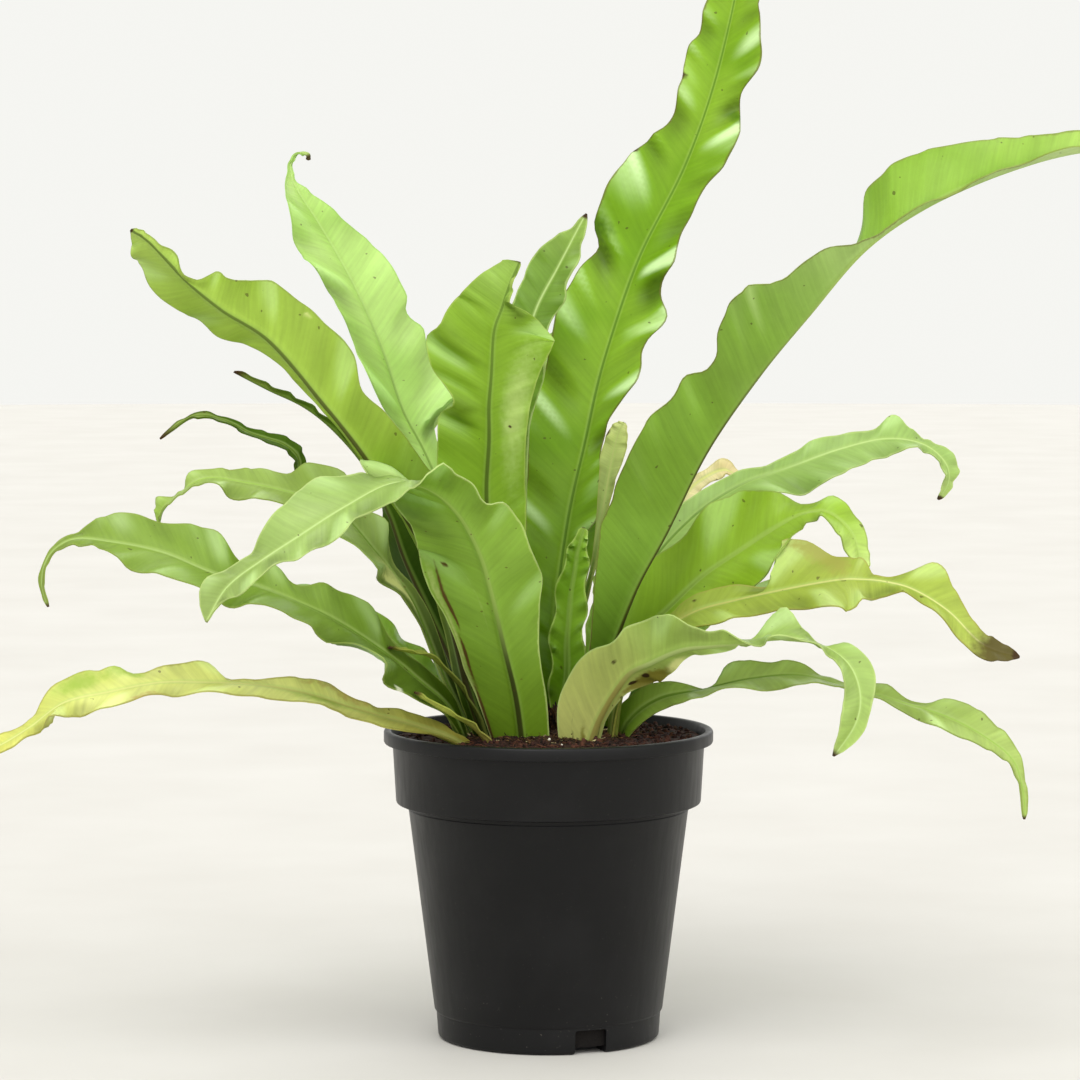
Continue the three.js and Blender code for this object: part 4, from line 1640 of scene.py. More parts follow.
GLOSSY = BladeFinish(
    "blade_green_upper", face=(148, 186, 62), shade=(126, 168, 42), rib=(168, 202, 92),
    rib_foot=(110, 146, 44), margin_and_edge_highlight=(150, 168, 80), tip=(166, 200, 82), foot=(76, 116, 8), roughness=0.34,
    coat=0.1, specular=0.24)
MATT = BladeFinish(
    "blade_green_under", face=(126, 164, 56), shade=(114, 152, 44), rib=(110, 136, 50),
    rib_foot=(60, 42, 22), margin_and_edge_highlight=(160, 184, 90), tip=(160, 190, 92), foot=(84, 120, 26), roughness=0.48,
    coat=0.03, shoulder=(150, 182, 84), rib_fade=(0.35, 0.7))
PALE_UPPER = replace(
    GLOSSY, name="blade_pale_upper", face=(182, 212, 122), shade=(166, 200, 100), rib=(204, 228, 148),
    margin_and_edge_highlight=(196, 214, 136), tip=(190, 214, 126), foot=(112, 150, 48), glow=0.36)
PALE_UNDER = replace(
    MATT, name="blade_pale_under", face=(146, 180, 82), shade=(130, 166, 64), rib=(180, 204, 114),
    rib_foot=(66, 40, 22), margin_and_edge_highlight=(200, 218, 140), tip=(170, 200, 96), foot=(110, 146, 44), glow=0.34,
    rib_fade=(0.12, 0.26))
# Very dark green finishes with painted shade, for fronds that lie in the shade among the others by the crown.
DARK_SHADED_UPPER = replace(
    GLOSSY, name="blade_dark_shaded_upper", face=(72, 104, 8), shade=(50, 80, 0), rib=(96, 124, 28),
    margin_and_edge_highlight=(76, 100, 20), tip=(122, 140, 52), foot=(32, 54, 0), scorch_from=0.95, coat=0.0, specular=0.12,
    foot_to=0.6)
DARK_SHADED_UNDER = replace(
    MATT, name="blade_dark_shaded_under", face=(76, 108, 14), shade=(54, 84, 0), margin_and_edge_highlight=(78, 102, 22),
    tip=(122, 140, 56), foot=(34, 58, 0), scorch_from=0.95, coat=0.0, specular=0.12, foot_to=0.6)
YELLOW_UPPER = replace(
    GLOSSY, name="blade_yellow_upper", face=(226, 231, 144), shade=(210, 217, 114), rib=(228, 230, 150),
    rib_foot=(196, 196, 110), margin_and_edge_highlight=(170, 166, 80), tip=(220, 216, 110), foot=(170, 162, 68),
    stain=(172, 198, 80), roughness=0.44, coat=0.08, glow=0.34, streak=0.18, foot_to=0.4)
YELLOW_UNDER = replace(
    MATT, name="blade_yellow_under", face=(206, 208, 116), shade=(186, 192, 92), rib=(178, 172, 84),
    rib_foot=(138, 118, 56), margin_and_edge_highlight=(190, 184, 96), tip=(212, 204, 100), foot=(140, 146, 60),
    stain=(146, 176, 66), glow=0.34, streak=0.18)
STRAW_UPPER = replace(
    YELLOW_UPPER, name="blade_straw_upper", face=(204, 208, 132), shade=(186, 188, 100),
    tip=(196, 184, 104), foot=(116, 126, 44), roughness=0.6, coat=0.0, scorch_from=0.96, rim_share=0.3)
STRAW_UNDER = replace(
    YELLOW_UNDER, name="blade_straw_under", face=(198, 200, 124), shade=(180, 180, 92), tip=(188, 176, 98),
    foot=(112, 122, 42), roughness=0.65, coat=0.0, scorch_from=0.96, rim_share=0.3)

STUB = replace(
    STRAW_UPPER, name="blade_stub", face=(186, 196, 88), shade=(166, 178, 70), tip=(140, 138, 54),
    foot=(30, 44, 4), foot_to=0.8, tip_from=0.9, rib=(150, 160, 66), rib_foot=(44, 56, 14),
    shoulder_share=0.0, margin_and_edge_highlight=(130, 140, 56), scorch_from=0.93)
STUB_LIGHT = replace(STUB, name="blade_stub_light", foot=(190, 176, 96), rib_foot=(150, 140, 70), foot_to=0.6)


FRONDS: tuple[Frond, ...] = (
    Frond(
        "frond_tall_centre", "frond_green", replace(
            GLOSSY, name="blade_tall_centre_upper", face=(146, 186, 52), shade=(122, 166, 30),
            rib=(96, 140, 26), rib_foot=(84, 124, 20), margin_and_edge_highlight=(118, 112, 56), tip=(146, 176, 48),
            foot=(84, 124, 2), foot_to=0.46, shoulder=(176, 206, 100), painted_fold_shade=0.34, painted_sheen_share=0.8,
            specular=0.16, coat=0.04),
        MATT, heading=75, fold=20, waves=9, ruffle=0.16, phase=0.2, columns=30, pleat=1.5 * MM,
        pleat_pitch=19 * MM, lobe_lift=0.9,
        rows=(
            (3, 10, 112, 4, 4, 0), (3, 13, 140, 6, 5, 0), (3, 20, 165, 10, 8, 0), (7, 30, 198, 16, 11, 0),
            (14, 42, 230, 23, 14, 0), (23, 54, 267, 26, 18, 0), (37, 64, 307, 24, 15, 0),
            (56, 70, 345, 23, 13, 0), (68, 74, 379, 14, 14, 0), (76, 80, 412, 12, 12, 0),
            (80, 92, 437, 8, 8, 0), (85, 112, 457, 1, 1, 0),
        ),
        outlines=(
            ((522, 505), (527, 475), (528, 440), (531, 412), (538, 390), (545, 365), (552, 335), (558, 307),
             (568, 288), (584, 263), (600, 243), (592, 230), (593, 222), (599, 210), (603, 197), (608, 184),
             (618, 170), (628, 158), (641, 146), (652, 135), (664, 126), (671, 118), (675, 105), (679, 88),
             (683, 78), (684, 65), (687, 50), (693, 40), (700, 33), (701, 20), (707, 0)),
            ((556, 605), (560, 585), (568, 565), (578, 545), (590, 530), (598, 520), (600, 500), (602, 480),
             (600, 450), (604, 432), (610, 418), (620, 402), (628, 392), (638, 382), (641, 370), (641, 355),
             (643, 343), (650, 336), (662, 328), (668, 320), (668, 312), (661, 300), (658, 288), (660, 278),
             (670, 268), (677, 260), (678, 243), (681, 230), (688, 220), (694, 208), (700, 195), (704, 185),
             (712, 178), (723, 168), (727, 158), (735, 145), (741, 133), (741, 124), (739, 112), (738, 97),
             (744, 87), (752, 78), (760, 65), (761, 40), (760, 20), (757, 0)),
        ),
        marks=(
            Mark(Tone.BROWN, 0.722, 1.0, 0.0035, 0.2, 1.0), Mark(Tone.BROWN, 0.63, 1.0, 0.004, 0.08, 1.0),
            Mark(Tone.DARK, 0.556, 1.0, 0.012, 0.6, 0.6), Mark(Tone.DARK, 0.695, -0.9, 0.01, 0.6, 0.6),
        ),
    ),
    Frond(
        "frond_tall_right", "frond_green", replace(
            GLOSSY, name="blade_tall_right_upper", face=(160, 200, 78), shade=(146, 188, 58),
            tip=(212, 236, 138), margin_and_edge_highlight=(150, 160, 80), tip_from=0.7, glow=0.38),
        # Underside: its pale tip colour from t 0.36 and its sheen colour are painted sheen on the far half of
        # the blade.
        replace(
            MATT, name="blade_tall_right_under", face=(134, 173, 60), shade=(124, 161, 50), painted_sheen_share=0.5,
            painted_sheen=(196, 214, 150), rib=(176, 200, 110), rib_foot=(64, 50, 20), rib_fade=(0.3, 0.6),
            margin_and_edge_highlight=(112, 104, 54), rib_width=0.7 * MM, tip=(210, 228, 160), tip_from=0.36,
            rim_width=0.6 * MM),
        heading=-40, fold=45, waves=6, ruffle=0.1, phase=0.6, columns=28, pleat=0.5 * MM, lobe_lift=0.5,
        trim=(0.02, 1.8), halves=(-1, 1),
        rows=(
            (15, -7, 112, 4, 4, 0), (20, -14, 143, 7, 8, 0), (32, -26, 177, 12, 19, 0),
            (45, -36, 203, 14, 26, 0), (60, -50, 235, 14, 26, 0), (79, -62, 264, 13, 23, 0),
            (97, -72, 287, 12, 22, 0), (118, -80, 312, 12, 13, 0), (141, -84, 328, 14, 11, 40),
            (171, -86, 341, 13, 10, 45), (199, -84, 348, 9, 9, 45), (224, -78, 348, 7, 6, 40),
            (246, -70, 341, 1, 1, 40),
        ),
        outlines=(
            ((590, 647), (593, 599), (600, 530), (603, 520), (611, 500), (618, 480), (627, 460), (637, 440),
             (645, 425), (655, 412), (668, 400), (683, 380), (690, 373), (700, 372), (709, 365), (716, 352),
             (717, 335), (724, 316), (733, 301), (747, 289), (762, 284), (780, 280), (795, 268), (808, 258),
             (831, 247), (853, 243), (877, 233), (903, 215), (929, 201), (952, 192), (985, 175),
             (1019, 163), (1047, 153), (1080, 147)),
            ((856, 236), (864, 196), (884, 171), (915, 154), (966, 142), (1033, 135), (1080, 130)),
        ),
    ),
    Frond(
        "frond_high_left", "frond_green", GLOSSY, replace(
            # Its very dark foot colour is painted shade on the base among the crowded fronds.
            MATT, name="blade_high_left_under", face=(166, 196, 76), shade=(152, 184, 60),
            rib=(96, 116, 44), margin_and_edge_highlight=(150, 168, 76), tip=(190, 216, 104), foot=(38, 64, 0), foot_to=0.46),
        heading=200, fold=20, waves=7, ruffle=0.12, phase=0.1, columns=28,
        rows=(
            (-22, -11, 112, 4, 4, 55), (-31, -15, 139, 6, 5, 55), (-39, -22, 170, 8, 4, 55),
            (-50, -35, 200, 12, 3, 52), (-68, -52, 230, 15, 3, 50), (-85, -60, 253, 18, 5, 50),
            (-105, -66, 277, 18, 9, 50), (-123, -70, 289, 12, 14, 50), (-136, -72, 300, 4, 15, 45),
            (-149, -74, 314, 3, 11, 40), (-156, -75, 319, 1, 2, 40),
        ),
        outlines=(
            ((144, 235), (174, 252), (181, 269), (196, 281), (214, 272), (233, 279), (275, 284), (306, 305),
             (324, 321), (352, 354), (364, 391), (389, 415), (429, 471)),
            ((130, 247), (153, 290), (199, 321), (220, 336), (254, 348), (288, 370), (309, 397), (337, 425),
             (367, 467)),
        ),
        marks=(
            Mark(Tone.PALE, 0.656, 0.95, 0.004, 0.06, 1.0), Mark(Tone.PALE, 0.589, 0.85, 0.0045, 0.07, 1.1),
            Mark(Tone.BROWN, 1.0, 0.0, 0.012, 1.0),
        ),
    ),
    Frond(
        "frond_pale_left", "frond_pale", replace(
            PALE_UPPER, name="blade_pale_left_upper", face=(202, 233, 138), shade=(186, 223, 116),
            rib=(206, 234, 150), rib_share=0.6, glow=0.42, foot=(130, 176, 60), margin_and_edge_highlight=(170, 206, 110)),
        PALE_UNDER, heading=125, fold=25, waves=6, ruffle=0.06, phase=0.4, columns=28, pleat=0.9 * MM,
        pleat_pitch=21 * MM,
        rows=(
            (-11, 8, 112, 4, 4, 0), (-19, 16, 150, 5, 5, 0), (-32, 30, 186, 12, 9, 0),
            (-48, 44, 225, 14, 10, 0), (-59, 51, 246, 14, 18, 0), (-67, 58, 269, 16, 20, 0),
            (-76, 62, 290, 15, 17, 0), (-85, 66, 307, 20, 11, 0), (-94, 68, 322, 17, 6, 0),
            (-103, 71, 336, 5, 3, 0), (-105, 74, 343, 1, 1, 0), (-103.5, 75, 348, 0.8, 0.8, 0),
            (-99, 75, 349, 0.9, 0.9, 0), (-98, 75, 346.5, 0.9, 0.9, 0),
        ),
        outlines=(
            ((286, 201), (297, 241), (309, 269), (334, 290), (340, 311), (355, 336), (358, 354), (364, 379),
             (389, 412), (437, 465)),
            ((297, 181), (337, 213), (383, 256), (407, 296), (406, 314), (425, 330), (428, 355), (450, 380),
             (465, 405), (440, 410), (438, 440)),
        ),
        marks=(
            Mark(Tone.BROWN, 1.0, 0.0, 0.06, 3.0, 1.2), Mark(Tone.BROWN, 0.32, -1.0, 0.009, 0.14, 0.9),
        ),
    ),
    Frond(
        "frond_broad_centre", "frond_green", GLOSSY, replace(
            MATT, name="blade_broad_centre_under", face=(148, 186, 56), shade=(134, 172, 42),
            rib=(100, 130, 38), tip=(150, 182, 82), rib_foot=(76, 96, 26), margin_and_edge_highlight=(170, 190, 92),
            foot=(110, 148, 34), pale=(182, 206, 118)),
        heading=-95, fold=8, waves=4, ruffle=0.04, phase=0.2, columns=30, trim=(0.05, 1.8),
        rows=(
            (-13, -6, 112, 5, 5, 0), (-17, -12, 150, 8, 8, 0), (-21, -16, 188, 12, 13, 0),
            (-24, -20, 214, 15, 20, 0), (-23, -24, 237, 14, 21, 0), (-23, -26, 250, 17, 17, 0),
            (-22, -28, 263, 21, 23, 0), (-21, -30, 279, 23, 23, 0), (-18, -30, 288, 14, 20, 0),
            (-15, -30, 297, 1, 17, 0), (-11, -29, 306, 1, 5, 0),
        ),
        outlines=(
            ((525, 258), (505, 260), (473, 281), (445, 313), (442, 327), (425, 336), (433, 370), (456, 402),
             (439, 413), (438, 442)),
            ((518, 262), (513, 290), (510, 303), (508, 316), (518, 325), (530, 322), (541, 317), (549, 318),
             (554, 327), (554, 342), (547, 358), (540, 372), (531, 402), (526, 442), (525, 490)),
        ),
        halves=(-1, 1),
        marks=(
            Mark(Tone.PALE, 0.44, 0.55, 0.011, 0.11, 1.0), Mark(Tone.BROWN, 0.437, 0.52, 0.005, 0.05, 1.0),
            Mark(Tone.PALE, 0.5, 0.65, 0.25, 0.5, 0.62),
        ),
    ),
    Frond(
        "frond_slim_centre", "frond_pale", replace(
            PALE_UPPER, name="blade_slim_centre_upper", face=(126, 162, 60), shade=(112, 148, 46),
            tip=(150, 180, 84)),
        PALE_UNDER, heading=80, fold=15, waves=5, ruffle=0.14, phase=0.9,
        rows=(
            (-3, 2, 112, 3, 3, 0), (-7, 6, 153, 4, 2, 0), (-10, 12, 188, 6, 1.5, 0),
            (-11, 18, 231, 8, 3, 0), (-10, 22, 259, 12, 8, 0), (-6, 27, 284, 14, 10, 0),
            (4, 31, 304, 10, 6, 0), (15, 34, 325, 1, 1, 0),
        ),
        outlines=(
            ((594, 230), (580, 244), (581, 260), (571, 273), (564, 287), (568, 298), (551, 319)),
            ((574, 227), (557, 235), (534, 255), (522, 281), (508, 313)),
        ),
        marks=(Mark(Tone.BROWN, 1.0, 0.0, 0.012, 2.0),),
    ),
    Frond(
        "frond_front_arched", "frond_pale",
        replace(PALE_UPPER, name="blade_front_arched_upper", face=(180, 204, 124), shade=(162, 190, 102),
                tip=(154, 176, 98)), replace(
            PALE_UNDER, name="blade_front_arched_under", face=(154, 192, 74), shade=(138, 178, 58),
            rib=(170, 198, 98), rib_foot=(36, 20, 8), margin_and_edge_highlight=(204, 222, 136), foot=(118, 154, 36),
            scorch=(96, 66, 30), rib_width=0.8 * MM),
        heading=-150, fold=12, waves=6, ruffle=0.14, phase=0.3, columns=48, trim=(0.1, 3.0),
        rows=(
            (-9, -17, 112, 7, 7, 48), (-12, -25, 136, 12, 10, 48), (-17, -34, 158, 14, 11, 48),
            (-22, -44, 181, 20, 15, 46), (-27, -54, 198, 23, 18, 42), (-35, -64, 213, 24, 18, 30),
            (-47, -74, 223, 20, 18, 8), (-60, -84, 224, 15, 18, -16), (-76, -92, 216, 12, 17, -35),
            (-92, -98, 206, 13, 15, -45), (-106, -102, 197, 12, 11, -45), (-119, -104, 187, 9, 7, -40),
            (-127, -104, 174, 2, 2, -30),
        ),
        outlines=(
            ((550, 745), (547, 700), (542, 670), (539, 640), (540, 600), (543, 585), (537, 562), (530, 545),
             (523, 525), (515, 515), (503, 504), (487, 502), (478, 490), (465, 476), (452, 469), (441, 468),
             (437, 481), (429, 486), (420, 481), (411, 477), (405, 484), (403, 496), (397, 503), (385, 505),
             (370, 507), (357, 512), (350, 528), (341, 543), (325, 546), (312, 543), (305, 557), (295, 562),
             (280, 560), (270, 564), (258, 580), (247, 593), (235, 597), (218, 603), (210, 616)),
            ((490, 735), (485, 720), (475, 692), (464, 668), (456, 642), (445, 615), (430, 588), (421, 565),
             (417, 545), (412, 508)),
            ((425, 467), (396, 464), (380, 465), (367, 466), (347, 472), (332, 477), (315, 481), (300, 490),
             (285, 503), (271, 516), (258, 538), (250, 553), (228, 567), (208, 578), (199, 597),
             (203, 618)),
        ),
        halves=(1, -1, -1),
        marks=(
            Mark(Tone.BROWN, 0.285, -0.66, 0.006, 0.06, 0.9),
            Streak(Tone.BROWN, -1, 0.03, 0.33, (0.9 * MM, 5.5 * MM), 0.6 * MM, 1.1),
            Streak(Tone.PALE, -1, 0.03, 0.36, (0.0, 3.0 * MM), 1.8 * MM, 0.5),
            Streak(Tone.PALE, -1, 0.2, 0.42, (16 * MM, 15 * MM), 0.9 * MM, 0.35),
        ),
    ),
    Frond(
        "frond_long_left", "frond_green", replace(
            GLOSSY, name="blade_long_left_upper", face=(148, 178, 78), shade=(132, 164, 58),
            rib=(176, 202, 118), foot=(56, 82, 0), foot_to=0.42, pale=(236, 238, 214), tip=(112, 134, 36),
            tip_from=0.5),
        MATT, heading=195, fold=15, waves=7, ruffle=0.12, phase=0.5, columns=26,
        rows=(
            (-30, -9, 112, 4, 4, -20), (-38, -20, 132, 10, 8, -30), (-50, -34, 145, 17, 12, -35),
            (-63, -44, 157, 19, 13, -35), (-80, -51, 169, 13, 11, -35), (-95, -55, 177, 10, 10, -35),
            (-112, -58, 184, 11, 12, -40), (-128, -60, 189, 12, 16, -40), (-147, -62, 197, 12, 13, -40),
            (-166, -64, 201, 8, 10, -35), (-180, -65, 202, 4.5, 4.5, -30), (-189, -66, 196, 1.5, 1.5, -30),
            (-192, -66, 186, 1.3, 1.3, -30), (-190, -66, 176, 0.8, 0.8, -30),
        ),
        outlines=(
            ((63, 541), (86, 524), (130, 514), (163, 520), (210, 532), (243, 558), (270, 564), (298, 583),
             (330, 585), (380, 620), (430, 690)),
            ((55, 551), (82, 555), (103, 554), (115, 562), (163, 579), (199, 597), (240, 605), (300, 625),
             (340, 640), (400, 690), (440, 710)),
        ),
        marks=(Mark(Tone.PALE, 0.211, 0.93, 0.006, 0.12, 1.2),),
    ),
    Frond(
        "frond_yellow_low", "frond_yellow", YELLOW_UPPER, YELLOW_UNDER, heading=190, fold=10, waves=7,
        ruffle=0.15, phase=0.1, columns=18,
        rows=(
            (-24, -24, 112, 3, 3, -20), (-36, -31, 121.5, 3.5, 3.5, -30), (-50, -37, 127.5, 4, 4, -40),
            (-63, -41, 131.5, 5, 5, -40), (-77, -44, 136, 6, 6, -40), (-92, -47, 141, 6, 5.5, -40),
            (-110, -51, 145, 6, 5.5, -40), (-129, -56, 146.5, 8, 6, -35), (-148, -60, 147, 9, 7, -35),
            (-166, -65, 144, 12, 9, -40), (-183, -69, 140.5, 11, 8, -40), (-196, -73, 131.5, 5, 5, -30),
            (-207, -77, 125, 6, 5, -40), (-219, -80, 121, 4, 4, -30), (-228, -80, 115, 1, 1, -30),
        ),
        outlines=(
            ((463, 730), (410, 712), (371, 704), (333, 687), (295, 677), (232, 677), (203, 664), (166, 664),
             (134, 673), (115, 667), (99, 671), (77, 673), (52, 687), (29, 719), (0, 734)),
            ((463, 735), (387, 729), (352, 715), (314, 704), (237, 694), (187, 696), (165, 690), (134, 698),
             (115, 711), (92, 713), (80, 708), (57, 725), (38, 723), (19, 744), (0, 752)),
        ),
        marks=(
            Mark(Tone.DARK, 0.69, -0.6, 0.05, 0.6, 0.64), Mark(Tone.DARK, 0.61, -0.9, 0.035, 0.5, 0.6),
            Mark(Tone.DARK, 0.9, 0.0, 0.04, 0.8, 0.4), Mark(Tone.DARK, 0.34, 0.3, 0.09, 0.6, 0.5),
            Mark(Tone.DRY, 0.6, 0.9, 0.05, 0.3, 0.5), Mark(Tone.DRY, 0.3, -0.8, 0.12, 0.5, 0.5),
        ),
    ),
    Frond(
        "frond_mid_left", "frond_green", replace(
            # Its very dark foot colour is painted shade on the base among the crowded fronds.
            GLOSSY, name="blade_mid_left_upper", face=(164, 190, 96), shade=(148, 174, 76),
            foot=(30, 50, 0), foot_to=0.42, scorch=(120, 92, 44)),
        MATT, heading=185, fold=15, waves=5, ruffle=0.12, phase=0.8, columns=22, trim=(0.3, 1.8),
        rows=(
            (-26, -1, 112, 3, 3, -20), (-40, -8, 142, 5, 5, -30), (-53, -16, 174, 5, 9, -35),
            (-67, -24, 194, 13, 11, -35), (-83, -30, 212, 11, 9, -35), (-100, -36, 218, 9, 9, -35),
            (-116, -42, 222, 9, 7, -35), (-131, -46, 224, 6, 5, -30), (-142, -47, 218, 3, 3, -20),
            (-148, -46, 212, 3, 3, -20), (-150, -44, 206, 1, 1, -20),
        ),
        outlines=(
            ((150, 513), (159, 498), (178, 492), (196, 471), (248, 468), (288, 472), (306, 464),
             (337, 468)),
            ((165, 516), (171, 498), (214, 489), (263, 507), (275, 510)),
            ((343, 543), (346, 559), (398, 591), (410, 620), (424, 650), (440, 690)),
            ((450, 690), (434, 652), (421, 626), (410, 602), (402, 574), (387, 536), (379, 516),
             (360, 511)),
        ),
        marks=(
            Mark(Tone.PALE, 0.25, 0.3, 0.08, 0.6, 0.6),
            Streak(Tone.PALE, 1, 0.2, 0.34, (4 * MM, 4 * MM), 0.7 * MM, 0.6),
        ),
    ),
    # The curled and rolled fronds below wear the dark finishes, painted in shade.
    Frond(
        "frond_curled_left", "frond_dark", DARK_SHADED_UPPER, DARK_SHADED_UNDER, heading=175, fold=10, waves=3,
        ruffle=0.1, phase=0.2, columns=14,
        rows=(
            (-25, 12, 112, 3, 3, 0), (-42, 20, 149, 3, 3, -20), (-61, 24, 179, 4, 4, -30),
            (-80, 20, 203, 4, 4, -30), (-93, 14, 214, 4, 4, -30), (-98, 12, 221, 3.5, 3.5, -30),
            (-99, 10, 229, 3.5, 3.5, -30), (-105, 8, 234.5, 3.5, 3.5, -30), (-117, 6, 238.5, 3, 3, -30),
            (-128, 4, 244, 2, 2, -30), (-140, 2, 245.5, 1.5, 1.5, -30), (-153, 0, 237, 1, 1, -30),
        ),
    ),
    Frond(
        "frond_rolled_left", "frond_dark", DARK_SHADED_UPPER, DARK_SHADED_UNDER, heading=170, fold=20, waves=3,
        ruffle=0.1, phase=0.5, columns=18,
        rows=(
            (-19, 5, 112, 4, 4, 60), (-34, 5, 141, 8, 8, 60), (-45, 6, 164, 10, 10, 60),
            (-56, 6, 188, 11, 11, 60), (-62, 4, 206, 8, 8, 50), (-71, 1, 225, 4, 4, 30),
            (-83, -4, 240, 2.5, 2.5, 30), (-95, -8, 250, 2.5, 2.5, 30), (-109, -12, 257, 2, 2, 30),
            (-122, -16, 264, 1.5, 1.5, 30),
        ),
    ),
    Frond(
        "frond_front_right", "frond_pale", replace(
            PALE_UPPER, name="blade_front_right_upper", face=(170, 196, 110), shade=(154, 182, 90),
            tip=(176, 202, 110), dry=(138, 132, 48)),
        replace(
            PALE_UNDER, name="blade_front_right_under", face=(176, 202, 104), shade=(160, 186, 88),
            foot=(208, 212, 122), foot_to=0.34, rib=(190, 206, 130), rib_foot=(160, 146, 76),
            scorch=(52, 30, 8), dry=(134, 128, 44)),
        heading=-20, fold=15, waves=6, ruffle=0.14, phase=0.4, columns=36, trim=(0.2, 1.8),
        rows=(
            (14, -20, 112, 7, 9, -65), (20, -26, 130, 8, 15, -62), (30, -36, 147, 8, 19, -58),
            (39, -44, 153, 11, 19, -57), (50, -54, 159, 9, 17, -55), (61, -62, 161.5, 6, 13, -45),
            (72, -70, 163.5, 4, 7, -15), (89, -78, 166, 11, 9, 25), (102, -84, 164, 6, 6, 0),
            (112, -90, 157, 7, 7, 30), (116, -94, 146, 7, 7, 50), (114, -96, 135, 6, 6, 60),
            (106, -97, 123, 1, 1, 60),
        ),
        outlines=(
            ((557, 716), (558, 700), (566, 682), (578, 662), (598, 646), (612, 644), (625, 627), (645, 620),
             (668, 617), (690, 622), (705, 628), (722, 630), (739, 638)),
            ((739, 641), (764, 643), (783, 651), (808, 656), (818, 655), (824, 643), (838, 664), (845, 690),
             (840, 720)),
            ((602, 735), (606, 718), (618, 702), (628, 690), (645, 687), (660, 682), (674, 670), (686, 657),
             (700, 652), (716, 655), (733, 656), (741, 645), (750, 634), (764, 619), (783, 614), (802, 626),
             (825, 641), (847, 645), (869, 661), (876, 686), (866, 728)),
        ),
        halves=(-1, -1, 1),
        marks=(
            Mark(Tone.DRY, 0.2, 0.75, 0.07, 0.45, 1.2), Mark(Tone.BROWN, 0.156, 0.42, 0.008, 0.13, 1.2),
            Mark(Tone.BROWN, 0.2, 0.45, 0.014, 0.13, 1.2), Mark(Tone.BROWN, 0.178, -0.45, 0.006, 0.06, 1.0),
            Mark(Tone.PALE, 0.29, 0.85, 0.04, 0.4, 0.8),
            Streak(Tone.BROWN, -1, 0.03, 0.13, (6 * MM, 8 * MM), 0.45 * MM, 0.7),
            Streak(Tone.BROWN, 1, 0.03, 0.12, (2 * MM, 3 * MM), 0.45 * MM, 0.8),
            Streak(Tone.DRY, -1, 0.02, 0.12, (10 * MM, 12 * MM), 1.5 * MM, 0.7),
        ),
    ),
    Frond(
        "frond_low_right", "frond_green", replace(
            GLOSSY, name="blade_low_right_upper", face=(180, 204, 112), shade=(162, 188, 92),
            foot=(130, 168, 44), foot_to=0.3, tip=(174, 196, 104), tip_from=0.55),
        replace(
            MATT, name="blade_low_right_under", face=(168, 194, 102), shade=(152, 180, 84),
            foot=(136, 174, 50), tip=(180, 202, 108), tip_from=0.55), heading=-8, fold=12, waves=5,
            ruffle=0.1, phase=0.6,
        columns=20,
        rows=(
            (26, -5, 112, 4, 4, 10), (31, -11, 126, 7, 7, 45), (43, -18, 136, 10, 9, 55),
            (60, -24, 140.5, 5, 5, 22), (78, -28, 145, 7, 7, 30), (97, -34, 147, 7, 7, 30),
            (116, -40, 143, 4, 4, 10), (135, -46, 138, 5, 5, 30), (152, -52, 133, 8, 8, 40),
            (166, -56, 126, 8, 8, 40), (177, -58, 117, 5, 5, 50), (181, -58, 105, 2.5, 2.5, 50),
            (182, -58, 94, 1, 1, 50),
        ),
        outlines=(
            ((611, 712), (652, 683), (707, 684), (732, 665), (767, 661), (802, 664), (847, 686), (879, 684),
             (920, 702), (943, 700), (975, 708), (1006, 734), (1022, 759), (1029, 801)),
            ((662, 708), (710, 696), (783, 688), (844, 692), (879, 699), (914, 715), (933, 728), (968, 740),
             (1006, 759), (1019, 782), (1024, 810)),
        ),
    ),
    Frond(
        "frond_bright_right", "frond_green", replace(
            GLOSSY, name="blade_bright_right_upper", face=(162, 199, 62), shade=(146, 184, 42),
            rib=(176, 206, 94), rib_share=0.5, tip=(220, 240, 150), foot=(98, 138, 4), foot_to=0.5,
            tip_from=0.72),
        MATT, heading=5, fold=15, waves=5, ruffle=0.12, phase=0.2, columns=28,
        rows=(
            (20, 2, 112, 5, 5, 20), (20.5, 1.5, 122, 7, 6, 28), (23, 0, 138, 11, 8, 40),
            (30, -4, 154, 17, 11, 45), (47, -12, 171, 20, 14, 45), (60, -18, 184, 19, 14, 45),
            (75, -24, 195, 14, 14, 45), (88, -30, 204, 12, 13, 45), (99, -34, 210, 8, 7, 30),
            (108, -38, 210, 6, 5, 40), (116, -42, 203, 6, 6, 55), (119, -44, 194, 5, 5, 60),
            (120, -45, 188, 1.5, 1.5, 60),
        ),
        outlines=(
            ((585, 654), (601, 610), (652, 559), (678, 539), (703, 511), (739, 492), (780, 492), (796, 501),
             (831, 498), (850, 508), (866, 533), (871, 578)),
            ((690, 628), (735, 600), (770, 572), (792, 552), (797, 540), (800, 520), (805, 508), (815, 514),
             (828, 524), (841, 539), (850, 559), (862, 572)),
        ),
    ),
    Frond(
        "frond_yellow_green", "frond_yellow", replace(
            YELLOW_UPPER, name="blade_yellow_green_upper", face=(172, 190, 80), shade=(156, 178, 64),
            tip=(192, 208, 98), foot=(130, 150, 56), stain=(96, 84, 38), dry=(170, 172, 80), tip_from=0.6),
        replace(
            YELLOW_UNDER, name="blade_yellow_green_under", face=(180, 192, 92), shade=(164, 180, 76),
            stain=(96, 84, 38), dry=(166, 170, 78)), heading=-12, fold=12, waves=4, ruffle=0.06, phase=0.2,
            columns=24,
        trim=(0.4, 2.2),
        rows=(
            (23, -13, 112, 3, 3, 20), (27, -18, 139, 6, 6, 30), (37, -28, 158, 7, 7, 35),
            (54, -38, 171, 8, 7, 35), (71, -46, 177, 8, 10, 35), (90, -54, 182, 17, 10, 35),
